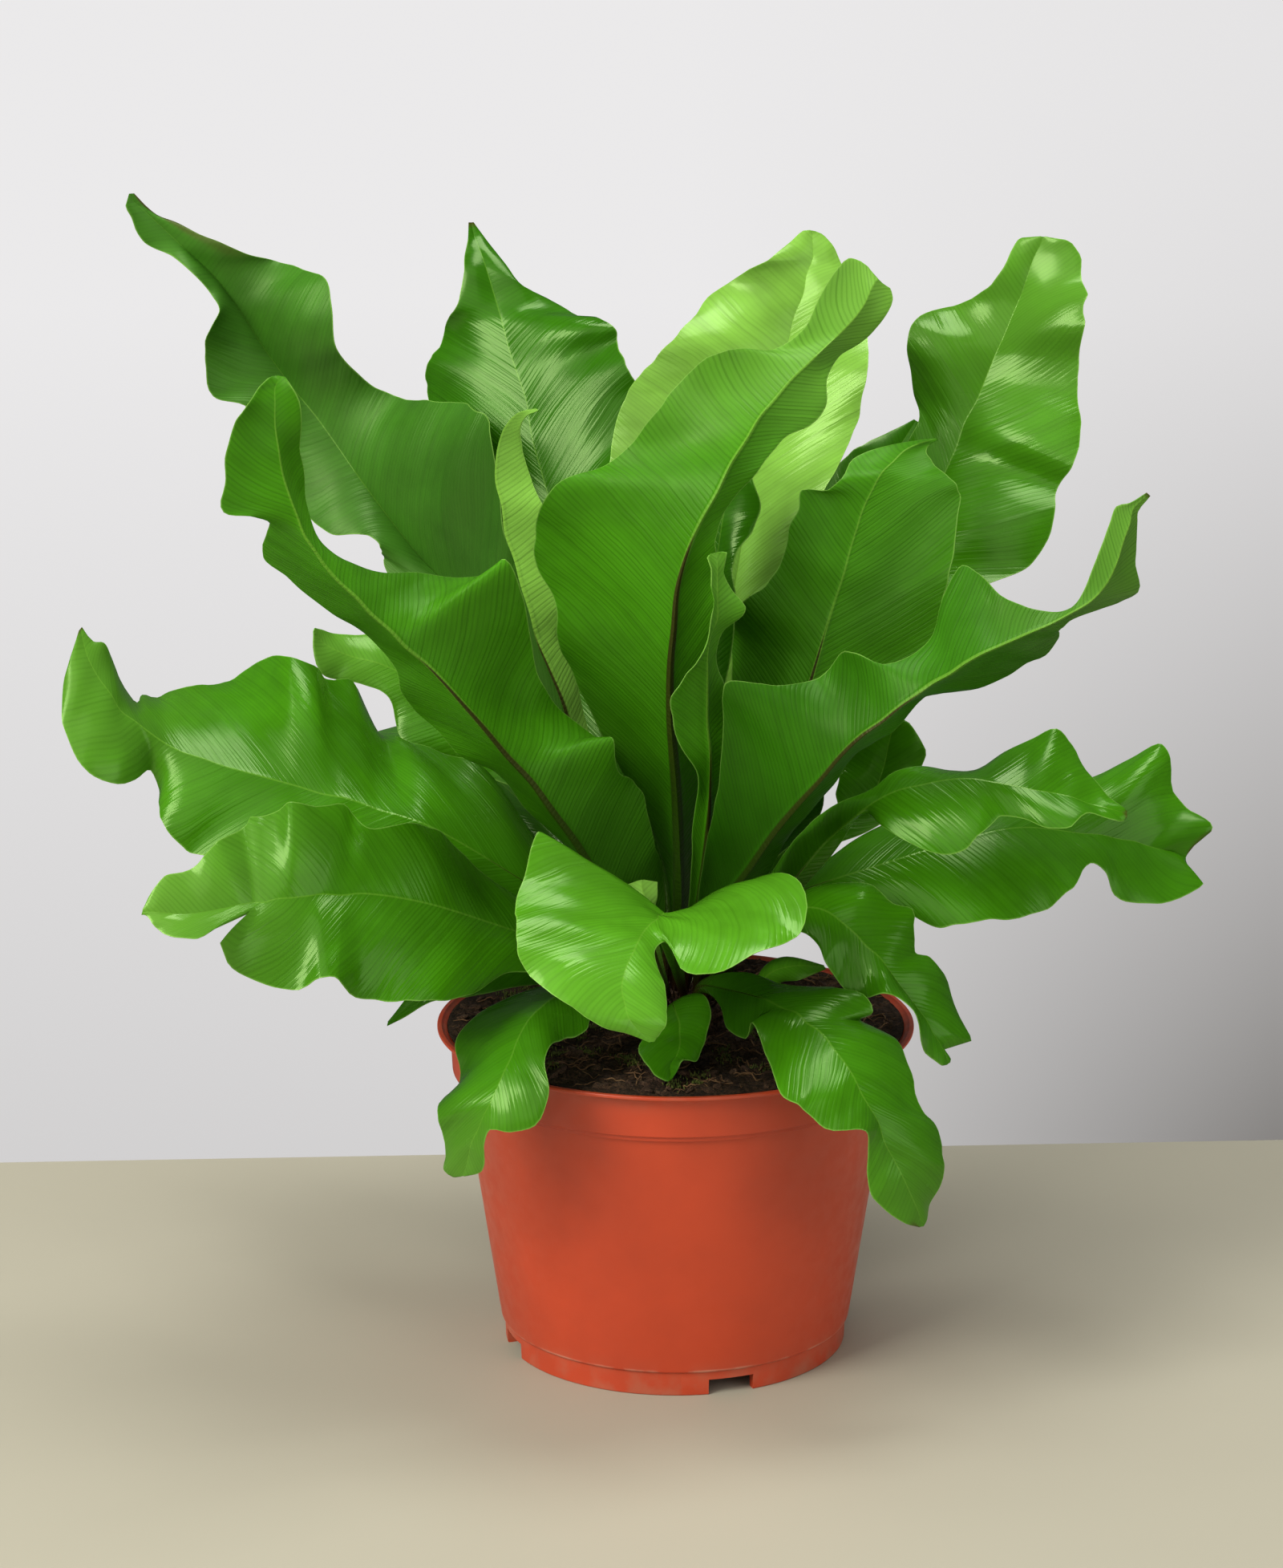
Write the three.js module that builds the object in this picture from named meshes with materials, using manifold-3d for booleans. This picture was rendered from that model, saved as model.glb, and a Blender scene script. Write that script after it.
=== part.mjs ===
// A bird's-nest fern in a round plastic nursery pot.
// Millimetres, +Z up. The origin is on the pot's axis, at the surface the pot stands on.
// The viewer stands on the -Y side, and +X is to the viewer's right.

import * as THREE from 'three';
import { mergeVertices } from 'three/addons/utils/BufferGeometryUtils.js';
import Module from 'manifold-3d';

const wasm = await Module();
wasm.setup();

// Pot: a six-inch nursery pot
const RIM_RADIUS = 77;
const POT_HEIGHT = 107.2;
const LIP_THICKNESS = 1.1;
const LIP_WIDTH = 1.4;
const COLLAR_RADIUS = 72.6;
const COLLAR_BOTTOM = 92.4;
const STEP_RADIUS = 70.9;
const STEP_BOTTOM = 90.7;
const WALL_TOP_RADIUS = 69.4;
const WALL_BOTTOM_RADIUS = 57;
const FOOT_TOP = 8.4;
const FOOT_RADIUS = 55.6;
const WALL = 1.8;
const FLOOR_UNDERSIDE = 6.6;
const FLOOR_TOP = 8.6;
const CENTRE_PAD_RADIUS = 9;
const POT_SIDES = 50;

// Drain recesses cut into the foot
const RECESSES = 4;
const RECESS_FIRST_DEG = -71.5;
const RECESS_ARC_DEG = 33.6;
const RECESS_HEIGHT = 5.4;
const RECESS_DEPTH = 2;
const SLOT_WIDTH = 15;
const SLOT_HEIGHT = 5.2;

// Soil
const FIT_GAP = 0.3;
const SOIL_BRIM_RADIUS = 73.8;
const SOIL_BRIM_Z = 106.6;
const SOIL_FLARE = 1.4;
const SOIL_DIP = 0.4;
const SOIL_LUMP = 1.3;

// Crown, the short upright rootstock that every stalk stands in
const CROWN_RADIUS = 15.4;
const CROWN_FOOT_Z = 92;
const CROWN_SHOULDER_Z = 108;
const CROWN_TOP_Z = 117.6;
const CROWN_SIDES = 32;
const STUBS = 8;
const STUB_RADIUS = 1.7;
const STUB_LENGTH = 9;

// Stalks and their sockets
const STALK_HALF = 1.15;
const SOCKET_RADIUS = 1.7;
const SOCKET_FLOOR_Z = 105;
const SEAT_RINGS = {
  inner: { radius: 3.6, seats: 5, firstDeg: -90 },
  middle: { radius: 8, seats: 10, firstDeg: -72 },
  outer: { radius: 12.7, seats: 16, firstDeg: -90 },
};

// Blades
const HALF_THICKNESS = 0.35;
const RIB_DEPTH = 1.5;
const STATION_STEP = 17;
const WAVE_LENGTH = 36;
const WAVE_SHARE = 0.07;
const WAVE_MOST = 1.6;
const WAVE_RISE = 2.2;
const VEIN_SLANT = 0.75;
const BOW_SHARE = 0.055;
const TIP_HALF = 0.9;
const COLUMNS = [-1, -0.5, 0, 0.5, 1];

const LEAF = { mid: 0x4f9a2a, dark: 0x2f6f22, light: 0x86bf4a };

// Each frond has a seat on the crown, a leaf tone and its shape from root to tip.
// A row is a point of the midrib, of the left margin and of the right margin, as
// the upper face shows them, each as x, y, z. The last row is the tip.
const FRONDS = {
  top_left: { seat: ['middle', 6], tone: 'dark', rows: [
    [-25, 30, 159, -30, 32, 161, -24, 34, 166],
    [-51, 58, 196, -71, 62, 202, -46, 48, 232],
    [-66, 72, 217, -86, 76, 223, -53, 50, 251],
    [-76, 82, 233, -98, 88, 240, -57, 54, 273],
    [-86, 90, 242, -98, 86, 246, -61, 58, 290],
    [-98, 97, 256, -105, 88, 249, -66, 74, 295],
    [-107, 103, 267, -114, 92, 248, -79, 92, 293],
    [-114, 108, 276, -121, 98, 251, -91, 104, 292],
    [-121, 112, 285, -132, 106, 263, -102, 108, 296],
    [-128, 115, 293, -143, 108, 288, -109, 104, 304],
    [-134, 117, 301, -154, 108, 292, -113, 98, 312],
    [-139, 118, 308, -157, 106, 304, -114, 98, 323],
    [-144, 119, 316, -156, 104, 313, -116, 106, 332],
    [-149, 120, 323, -152, 106, 321, -124, 116, 333],
    [-154, 120, 330, -155, 112, 326, -133, 120, 336],
    [-160, 120, 336, -160, 112, 332, -142, 118, 338],
    [-165, 119, 341, -168, 116, 338, -151, 118, 342],
    [-169, 119, 345, -175, 117, 341, -159, 118, 345],
    [-174, 118, 350, -179, 116, 345, -167, 119, 349],
    [-178, 117, 354, -181, 115, 351, -173, 120, 351],
    [-181, 116, 357, -183, 115, 355, -177, 118, 355],
    [-181, 116, 359],
  ] },
  tall_left: { seat: ['middle', 5], tone: 'dark', rows: [
    [-14, 22, 153, -18, 24, 154, -10, 20, 155],
    [-27, 46, 206, -40, 54, 209, -16, 40, 216],
    [-37, 60, 251, -61, 65, 258, -21, 58, 273],
    [-43, 70, 271, -72, 90, 275, -15, 66, 286],
    [-47, 77, 284, -81, 100, 289, -13, 74, 301],
    [-49, 84, 295, -83, 104, 297, -16, 78, 308],
    [-52, 89, 303, -82, 105, 303, -19, 84, 314],
    [-55, 94, 311, -79, 106, 309, -20, 84, 319],
    [-57, 98, 318, -77, 106, 316, -24, 90, 321],
    [-59, 102, 324, -73, 102, 322, -32, 100, 320],
    [-61, 105, 330, -71, 103, 329, -40, 104, 325],
    [-63, 108, 336, -70, 106, 335, -51, 105, 330],
    [-65, 112, 341, -70, 111, 339, -57, 110, 337],
    [-67, 116, 345, -69, 114, 344, -63, 116, 344],
    [-68, 118, 349],
  ] },
  folded: { seat: ['inner', 4], tone: 'light', rows: [
    [-14, -2, 157, -11, -2, 158, -16, 6, 157],
    [-26, -5, 190, -22, -3, 193, -26, 14, 189],
    [-33, -5, 205, -28, -1, 206, -31, 18, 204],
    [-36, -5, 215, -31, 0, 217, -34, 20, 215],
    [-40, -4, 225, -34, 0, 227, -37, 24, 227],
    [-44, -3, 235, -37, 0, 234, -41, 28, 240],
    [-46, -2, 243, -37, 1, 243, -45, 30, 247],
    [-49, 0, 252, -39, 3, 249, -48, 32, 253],
    [-51, 3, 259, -41, 6, 257, -51, 32, 260],
    [-54, 6, 267, -42, 9, 265, -53, 32, 268],
    [-55, 9, 275, -41, 12, 274, -55, 32, 275],
    [-57, 12, 282, -45, 15, 280, -57, 32, 281],
    [-57, 14, 288, -48, 17, 287, -57, 30, 288],
    [-56, 16, 294, -49, 18, 293, -55, 26, 294],
    [-54, 17, 299, -49, 18, 298, -52, 23, 299],
    [-50, 18, 303, -47, 18, 302, -49, 21, 303],
    [-44, 19, 304],
  ] },
  centre: { seat: ['inner', 0], tone: 'mid', rows: [
    [1, -16, 161, 6, -8, 161, -4, -12, 163],
    [0, -22, 189, 10, -14, 191, -17, -14, 195],
    [-2, -30, 217, 12, -24, 226, -32, -18, 224],
    [-2, -34, 234, 12, -30, 243, -37, -20, 239],
    [-1, -37, 246, 12, -33, 255, -38, -20, 252],
    [0, -39, 259, 12, -35, 265, -44, -22, 264],
    [3, -41, 271, 12, -37, 274, -44, -24, 274],
    [7, -42, 281, 14, -37, 282, -42, -26, 282],
    [12, -42, 290, 18, -37, 288, -35, -28, 291],
    [16, -40, 298, 24, -35, 294, -23, -26, 295],
    [21, -36, 305, 29, -32, 300, -14, -24, 301],
    [25, -32, 311, 34, -28, 305, -7, -24, 311],
    [30, -27, 316, 41, -24, 308, -1, -22, 319],
    [35, -22, 321, 46, -19, 312, 9, -20, 327],
    [40, -18, 325, 46, -15, 319, 20, -18, 330],
    [45, -14, 329, 51, -6, 326, 30, -14, 329],
    [50, -10, 333, 57, -4, 329, 39, -10, 335],
    [55, -8, 338, 62, -3, 334, 43, -6, 343],
    [58, -6, 342, 65, -2, 338, 49, -3, 352],
    [60, -4, 346, 67, -2, 343, 54, 0, 355],
    [62, -3, 349, 66, -2, 346, 59, -1, 353],
    [63, -2, 348],
  ] },
  pale_back: { seat: ['inner', 2], tone: 'light', rows: [
    [7, 20, 162, 2, 22, 164, 12, 18, 165],
    [12, 32, 199, -2, 34, 204, 23, 26, 208],
    [16, 40, 224, -8, 42, 234, 27, 30, 234],
    [20, 46, 244, -15, 47, 257, 32, 32, 248],
    [23, 52, 261, -20, 52, 272, 42, 36, 264],
    [26, 58, 276, -21, 56, 283, 51, 42, 278],
    [29, 63, 288, -19, 60, 294, 57, 48, 290],
    [31, 67, 298, -15, 63, 302, 60, 52, 299],
    [34, 71, 308, -10, 64, 309, 62, 56, 310],
    [37, 75, 316, -4, 66, 315, 63, 64, 318],
    [39, 78, 324, 5, 74, 323, 62, 70, 325],
    [42, 80, 331, 12, 82, 331, 60, 76, 331],
    [43, 82, 337, 21, 82, 337, 58, 80, 336],
    [45, 84, 342, 30, 80, 342, 55, 82, 340],
    [45, 85, 347, 37, 84, 347, 52, 84, 346],
    [45, 86, 350, 42, 86, 351, 48, 86, 350],
    [45, 86, 351],
  ] },
  tall_right: { seat: ['middle', 3], tone: 'mid', rows: [
    [23, 34, 168, 18, 36, 171, 28, 32, 169],
    [50, 58, 208, 38, 62, 218, 65, 50, 208],
    [66, 70, 233, 50, 76, 245, 85, 56, 228],
    [77, 80, 248, 62, 88, 262, 103, 60, 238],
    [85, 86, 260, 71, 94, 271, 117, 62, 245],
    [90, 91, 269, 78, 100, 278, 125, 72, 257],
    [94, 95, 277, 82, 104, 286, 127, 80, 267],
    [97, 98, 285, 80, 108, 293, 131, 76, 275],
    [101, 100, 292, 79, 108, 301, 134, 84, 287],
    [104, 103, 299, 78, 108, 309, 134, 92, 296],
    [107, 105, 306, 80, 112, 315, 134, 94, 307],
    [110, 107, 312, 87, 118, 319, 135, 90, 319],
    [113, 109, 319, 97, 116, 323, 135, 94, 325],
    [116, 111, 326, 106, 112, 329, 137, 98, 328],
    [118, 112, 332, 110, 112, 335, 135, 104, 332],
    [120, 113, 338, 113, 114, 341, 135, 108, 340],
    [122, 113, 342, 115, 115, 344, 131, 110, 344],
    [123, 113, 345],
  ] },
  cupped_right: { seat: ['middle', 2], tone: 'mid', rows: [
    [16, 4, 158, 21, 8, 157, 12, 10, 158],
    [31, 9, 189, 46, 10, 187, 19, 20, 194],
    [41, 14, 210, 66, 14, 207, 18, 26, 219],
    [45, 17, 222, 76, 16, 221, 18, 28, 229],
    [48, 20, 232, 83, 14, 232, 21, 21, 240],
    [51, 23, 241, 85, 15, 242, 29, 21, 247],
    [54, 25, 250, 87, 17, 251, 34, 22, 256],
    [56, 28, 257, 89, 20, 260, 36, 24, 264],
    [58, 30, 263, 90, 24, 268, 39, 27, 270],
    [60, 32, 269, 91, 28, 275, 40, 29, 276],
    [63, 34, 275, 89, 32, 278, 49, 30, 276],
    [66, 36, 280, 86, 36, 280, 53, 33, 279],
    [70, 40, 283, 83, 42, 283, 57, 42, 283],
    [74, 44, 286, 81, 45, 285, 65, 46, 286],
    [79, 46, 288, 82, 47, 287, 75, 49, 288],
    [84, 48, 289],
  ] },
  sweeping_right: { seat: ['middle', 1], tone: 'dark', rows: [
    [13, -20, 149, 16, -12, 145, 7, -24, 160],
    [23, -34, 169, 29, -10, 161, 11, -40, 184],
    [30, -42, 182, 36, -12, 171, 13, -46, 203],
    [37, -49, 193, 43, -18, 184, 14, -50, 221],
    [44, -55, 203, 51, -22, 195, 15, -56, 232],
    [50, -60, 212, 57, -26, 202, 28, -52, 233],
    [56, -64, 219, 63, -32, 210, 43, -46, 232],
    [62, -66, 224, 69, -36, 216, 50, -50, 240],
    [67, -68, 229, 74, -40, 222, 54, -58, 244],
    [72, -69, 233, 80, -42, 225, 62, -62, 241],
    [77, -70, 237, 87, -44, 228, 71, -58, 242],
    [82, -71, 240, 94, -46, 231, 78, -52, 247],
    [86, -71, 243, 101, -47, 234, 81, -48, 258],
    [91, -71, 246, 107, -48, 238, 87, -46, 268],
    [96, -70, 248, 113, -48, 240, 92, -50, 266],
    [101, -69, 250, 117, -48, 245, 97, -58, 262],
    [106, -68, 252, 116, -56, 251, 104, -62, 259],
    [112, -66, 254, 119, -56, 253, 112, -62, 257],
    [119, -63, 257, 129, -52, 255, 119, -60, 258],
    [125, -60, 260, 137, -46, 256, 123, -58, 263],
    [130, -57, 265, 141, -44, 259, 126, -56, 270],
    [133, -55, 271, 139, -46, 268, 129, -54, 276],
    [135, -53, 277, 140, -46, 275, 131, -52, 282],
    [137, -51, 282, 140, -47, 282, 133, -50, 287],
    [138, -49, 286, 140, -47, 285, 137, -49, 288],
    [143, -46, 290],
  ] },
  back_right: { seat: ['middle', 4], tone: 'dark', rows: [
    [15, 46, 165, 12, 49, 167, 19, 44, 166],
    [36, 82, 203, 26, 88, 207, 47, 78, 201],
    [56, 108, 235, 43, 112, 243, 69, 104, 231],
    [68, 124, 257, 57, 128, 266, 82, 120, 252],
    [83, 138, 278],
  ] },
  young_curl: { seat: ['inner', 1], tone: 'mid', rows: [
    [9, -24, 171, 12, -20, 173, 5, -26, 176],
    [10, -35, 194, 15, -31, 193, 6, -41, 201],
    [10, -42, 207, 15, -38, 206, 1, -50, 212],
    [9, -45, 218, 15, -40, 217, -1, -53, 222],
    [9, -47, 227, 15, -42, 228, -2, -54, 229],
    [9, -48, 234, 12, -43, 236, 2, -54, 235],
    [9, -49, 241, 12, -44, 242, 6, -54, 239],
    [10, -49, 247, 14, -44, 247, 9, -53, 245],
    [12, -49, 252, 20, -45, 252, 10, -52, 252],
    [12, -49, 257, 21, -46, 255, 11, -51, 258],
    [12, -49, 261, 17, -46, 260, 10, -51, 262],
    [12, -48, 266, 14, -46, 266, 10, -50, 268],
    [12, -47, 270, 15, -46, 272, 9, -49, 271],
    [11, -47, 272],
  ] },
  inner: { seat: ['inner', 3], tone: 'dark', rows: [
    [5, 9, 179, 2, 11, 181, 8, 9, 182],
    [10, 13, 217, 5, 16, 219, 16, 9, 218],
    [12, 17, 244, 7, 21, 244, 19, 12, 247],
    [13, 19, 254, 8, 23, 255, 18, 13, 253],
    [14, 20, 261, 9, 25, 262, 19, 14, 259],
    [15, 21, 268, 10, 26, 269, 24, 15, 265],
    [16, 22, 273, 12, 26, 275, 26, 16, 269],
    [18, 22, 279, 14, 25, 282, 27, 17, 274],
    [19, 22, 284, 16, 24, 286, 25, 18, 280],
    [21, 22, 289],
  ] },
  long_left: { seat: ['middle', 7], tone: 'mid', rows: [
    [-24, -14, 142, -27, -18, 140, -23, -8, 148],
    [-39, -20, 154, -43, -30, 149, -45, 2, 168],
    [-51, -25, 163, -61, -38, 157, -62, 8, 189],
    [-65, -28, 173, -77, -42, 165, -76, 12, 194],
    [-78, -30, 181, -90, -42, 167, -89, 16, 199],
    [-86, -30, 184, -98, -42, 168, -96, 24, 197],
    [-93, -30, 186, -105, -42, 169, -101, 28, 205],
    [-98, -30, 188, -111, -42, 169, -105, 26, 213],
    [-104, -30, 190, -118, -42, 170, -112, 14, 218],
    [-111, -29, 191, -125, -42, 171, -115, 4, 225],
    [-118, -28, 193, -132, -41, 173, -123, 4, 227],
    [-126, -27, 195, -140, -40, 173, -131, 12, 224],
    [-134, -26, 197, -148, -39, 174, -138, 16, 220],
    [-142, -25, 199, -154, -38, 177, -146, 12, 217],
    [-148, -24, 201, -160, -35, 182, -153, 8, 216],
    [-155, -23, 203, -162, -30, 187, -160, 8, 216],
    [-161, -22, 206, -162, -24, 192, -165, 6, 214],
    [-165, -22, 209, -165, -22, 197, -170, 2, 215],
    [-170, -22, 213, -169, -30, 196, -171, -4, 214],
    [-174, -22, 216, -174, -36, 196, -174, -8, 220],
    [-177, -21, 221, -183, -38, 200, -176, -9, 226],
    [-181, -19, 226, -189, -34, 208, -178, -9, 231],
    [-184, -17, 231, -191, -30, 217, -180, -10, 235],
    [-186, -14, 236, -191, -22, 227, -183, -12, 236],
    [-187, -12, 240],
  ] },
  left_low: { seat: ['outer', 14], tone: 'mid', rows: [
    [-19, -22, 133, -22, -24, 131, -17, -20, 135],
    [-36, -42, 145, -38, -52, 139, -36, -32, 152],
    [-50, -52, 153, -52, -66, 144, -51, -36, 160],
    [-59, -58, 158, -62, -76, 141, -62, -40, 168],
    [-68, -64, 163, -71, -84, 141, -68, -44, 178],
    [-76, -69, 167, -79, -89, 142, -74, -50, 186],
    [-84, -73, 170, -86, -93, 144, -82, -55, 189],
    [-91, -76, 172, -91, -94, 145, -90, -61, 189],
    [-97, -78, 173, -97, -96, 146, -95, -64, 190],
    [-102, -80, 173, -103, -100, 152, -99, -61, 193],
    [-108, -82, 174, -108, -101, 153, -102, -61, 197],
    [-112, -84, 174, -114, -100, 149, -110, -68, 198],
    [-117, -86, 174, -122, -100, 151, -118, -71, 200],
    [-121, -87, 174, -130, -101, 154, -121, -69, 197],
    [-125, -88, 173, -135, -103, 159, -127, -69, 195],
    [-126, -88, 173, -137, -104, 165, -130, -70, 195],
    [-127, -88, 173, -128, -90, 171, -131, -71, 193],
    [-128, -88, 173, -140, -98, 167, -133, -74, 192],
    [-132, -90, 173, -145, -100, 165, -139, -83, 191],
    [-138, -91, 172, -150, -100, 166, -142, -86, 188],
    [-145, -92, 171, -155, -98, 167, -147, -87, 183],
    [-151, -93, 171, -158, -96, 169, -154, -89, 182],
    [-156, -94, 172, -160, -94, 171, -158, -92, 178],
    [-161, -94, 172],
  ] },
  left_back: { seat: ['outer', 11], tone: 'light', rows: [
    [-21, 16, 155, -24, 12, 154, -19, 20, 159],
    [-45, 28, 182, -53, 22, 179, -40, 34, 194],
    [-63, 34, 198, -74, 26, 187, -62, 44, 216],
    [-78, 37, 208, -89, 30, 194, -78, 46, 224],
    [-88, 38, 213, -93, 34, 206, -88, 46, 226],
    [-97, 38, 217, -101, 36, 210, -97, 46, 225],
    [-105, 38, 219, -110, 34, 212, -105, 44, 225],
    [-111, 36, 222, -115, 30, 216, -112, 42, 226],
    [-115, 35, 225, -117, 31, 224, -115, 38, 228],
    [-117, 34, 229],
  ] },
  left_centre: { seat: ['middle', 8], tone: 'mid', rows: [
    [-15, -24, 148, -4, -17, 161, -19, -16, 148],
    [-26, -36, 168, -8, -23, 178, -31, -18, 166],
    [-32, -43, 180, -11, -28, 191, -39, -22, 177],
    [-39, -50, 192, -18, -34, 200, -49, -26, 188],
    [-45, -54, 202, -20, -40, 213, -58, -32, 199],
    [-52, -58, 211, -25, -34, 210, -67, -36, 206],
    [-59, -62, 221, -35, -30, 217, -74, -40, 214],
    [-65, -65, 229, -42, -36, 229, -81, -44, 222],
    [-71, -68, 237, -45, -46, 244, -85, -48, 230],
    [-76, -70, 243, -47, -56, 260, -86, -50, 237],
    [-82, -73, 249, -52, -62, 273, -92, -52, 244],
    [-86, -75, 254, -60, -54, 267, -98, -54, 250],
    [-92, -77, 260, -70, -50, 265, -105, -58, 256],
    [-96, -78, 265, -80, -54, 267, -112, -60, 262],
    [-101, -79, 270, -89, -60, 269, -118, -62, 268],
    [-105, -80, 275, -96, -64, 272, -125, -62, 273],
    [-108, -81, 280, -102, -68, 275, -124, -70, 281],
    [-111, -82, 285, -107, -70, 281, -122, -78, 288],
    [-113, -83, 291, -110, -70, 288, -127, -88, 292],
    [-115, -84, 297, -112, -70, 295, -134, -92, 294],
    [-117, -84, 304, -112, -72, 303, -133, -92, 303],
    [-118, -84, 311, -112, -76, 310, -132, -92, 312],
    [-119, -83, 318, -111, -80, 319, -130, -90, 321],
    [-119, -82, 325, -112, -80, 325, -126, -88, 326],
    [-119, -80, 329, -114, -80, 329, -124, -84, 329],
    [-118, -79, 331, -116, -79, 332, -121, -81, 332],
    [-119, -78, 332],
  ] },
  front: { seat: ['middle', 0], tone: 'light', rows: [
    [0, -26, 136, 3, -28, 137, -3, -28, 137],
    [0, -38, 148, 9, -40, 153, -10, -40, 155],
    [-1, -44, 153, 20, -48, 168, -21, -46, 166],
    [-2, -50, 156, 32, -56, 174, -27, -50, 172],
    [-3, -54, 158, 38, -64, 173, -32, -54, 176],
    [-4, -57, 160, 40, -71, 168, -36, -57, 180],
    [-4, -59, 161, 38, -78, 162, -39, -59, 183],
    [-5, -62, 161, 32, -84, 159, -43, -62, 186],
    [-6, -65, 162, 23, -90, 156, -45, -66, 183],
    [-6, -68, 162, 13, -94, 152, -46, -70, 180],
    [-7, -71, 162, 3, -91, 153, -47, -74, 177],
    [-8, -73, 162, -1, -85, 157, -48, -78, 175],
    [-10, -77, 161, -4, -80, 158, -49, -83, 171],
    [-12, -85, 160, -7, -85, 157, -49, -89, 167],
    [-14, -90, 157, -6, -89, 153, -49, -94, 163],
    [-16, -96, 154, -4, -95, 150, -48, -99, 160],
    [-17, -101, 150, -3, -99, 146, -42, -104, 153],
    [-16, -104, 146, -3, -102, 143, -34, -108, 147],
    [-15, -107, 143, -4, -104, 140, -23, -110, 141],
    [-12, -107, 139, -5, -105, 138, -15, -108, 138],
    [-8, -106, 135],
  ] },
  pale_bud: { seat: ['middle', 9], tone: 'light', rows: [
    [-8, -28, 145, -6, -27, 144, -10, -28, 145],
    [-9, -33, 153, -7, -31, 153, -11, -33, 154],
    [-10, -33, 158, -6, -31, 158, -15, -33, 160],
    [-11, -31, 161, -6, -29, 161, -17, -31, 161],
    [-11, -30, 162, -6, -28, 162, -15, -30, 162],
    [-11, -29, 163],
  ] },
  front_left: { seat: ['outer', 15], tone: 'mid', rows: [
    [-15, -26, 122, -12, -28, 121, -18, -23, 123],
    [-31, -38, 131, -26, -46, 127, -36, -33, 131],
    [-37, -48, 131, -28, -60, 124, -46, -38, 130],
    [-42, -57, 130, -35, -68, 124, -55, -44, 127],
    [-46, -65, 128, -39, -76, 123, -63, -52, 124],
    [-49, -71, 124, -40, -83, 119, -69, -60, 119],
    [-51, -77, 120, -39, -87, 114, -68, -64, 112],
    [-53, -81, 117, -40, -90, 110, -69, -68, 108],
    [-55, -84, 113, -44, -92, 104, -73, -74, 104],
    [-57, -86, 109, -51, -91, 101, -73, -78, 101],
    [-59, -86, 105, -57, -89, 101, -72, -78, 97],
    [-61, -86, 100, -59, -88, 96, -72, -79, 93],
    [-63, -86, 96, -59, -88, 91, -72, -80, 89],
    [-64, -85, 91, -60, -87, 87, -72, -80, 85],
    [-65, -84, 87, -63, -85, 85, -69, -81, 83],
    [-66, -83, 84],
  ] },
  front_small: { seat: ['outer', 0], tone: 'mid', rows: [
    [-1, -26, 121, 6, -26, 125, -4, -28, 119],
    [0, -32, 120, 9, -33, 126, -7, -36, 118],
    [1, -39, 119, 11, -39, 123, -10, -43, 116],
    [1, -44, 117, 10, -45, 119, -12, -48, 115],
    [1, -51, 116, 8, -52, 115, -11, -56, 114],
    [0, -56, 114, 6, -58, 113, -9, -61, 112],
    [-2, -59, 112, 2, -60, 114, -7, -64, 110],
    [-2, -62, 110, 0, -63, 111, -4, -66, 109],
    [-2, -65, 109],
  ] },
  front_right: { seat: ['outer', 1], tone: 'mid', rows: [
    [8, -24, 126, 9, -22, 128, 9, -26, 125],
    [18, -38, 129, 22, -32, 134, 14, -46, 126],
    [24, -46, 130, 33, -38, 132, 16, -56, 122],
    [28, -53, 131, 43, -44, 132, 21, -62, 121],
    [33, -59, 130, 50, -54, 134, 23, -64, 128],
    [37, -63, 130, 58, -57, 133, 25, -68, 125],
    [40, -67, 128, 61, -60, 129, 27, -72, 121],
    [43, -70, 127, 57, -60, 128, 29, -78, 118],
    [46, -74, 125, 62, -62, 126, 30, -84, 115],
    [48, -78, 123, 68, -64, 123, 32, -90, 111],
    [51, -81, 120, 70, -68, 118, 36, -94, 110],
    [54, -85, 116, 72, -72, 113, 40, -96, 109],
    [56, -87, 112, 73, -76, 108, 45, -98, 105],
    [58, -89, 109, 76, -78, 103, 51, -98, 104],
    [61, -90, 104, 80, -78, 100, 57, -96, 103],
    [63, -91, 98, 82, -80, 94, 58, -94, 96],
    [66, -90, 92, 82, -82, 88, 58, -94, 88],
    [69, -90, 86, 80, -82, 80, 60, -94, 81],
    [72, -89, 79, 78, -84, 75, 65, -92, 75],
    [74, -88, 74, 77, -86, 71, 70, -90, 71],
    [75, -87, 69],
  ] },
  right_low: { seat: ['outer', 2], tone: 'mid', rows: [
    [15, -18, 136, 16, -14, 138, 16, -20, 135],
    [28, -26, 148, 31, -20, 152, 29, -30, 145],
    [41, -33, 155, 45, -24, 160, 39, -40, 149],
    [47, -37, 155, 53, -27, 162, 44, -45, 146],
    [52, -40, 152, 61, -30, 162, 46, -49, 142],
    [56, -42, 149, 68, -32, 156, 50, -48, 136],
    [59, -44, 146, 74, -32, 154, 53, -50, 133],
    [63, -46, 143, 74, -36, 147, 59, -53, 132],
    [66, -47, 139, 75, -38, 142, 64, -58, 135],
    [69, -48, 135, 80, -38, 141, 69, -58, 133],
    [72, -48, 131, 85, -38, 136, 73, -58, 129],
    [75, -49, 127, 87, -38, 128, 75, -57, 124],
    [78, -49, 123, 89, -40, 121, 76, -56, 119],
    [80, -49, 119, 92, -42, 114, 78, -54, 114],
    [82, -49, 116, 84, -47, 113, 81, -52, 111],
    [84, -49, 112, 86, -48, 110, 83, -51, 109],
    [85, -49, 109],
  ] },
  right_dark: { seat: ['outer', 4], tone: 'mid', rows: [
    [22, -6, 142, 21, -2, 144, 24, -8, 141],
    [40, -8, 153, 41, 2, 156, 41, -11, 151],
    [53, -12, 159, 56, 4, 166, 58, -17, 156],
    [65, -12, 163, 73, 10, 172, 71, -22, 152],
    [78, -11, 167, 87, 16, 175, 83, -26, 148],
    [91, -8, 170, 103, 20, 178, 94, -27, 148],
    [102, -4, 172, 116, 22, 179, 105, -25, 149],
    [112, 0, 172, 128, 26, 180, 117, -20, 151],
    [122, 4, 170, 137, 29, 182, 125, -14, 155],
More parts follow.
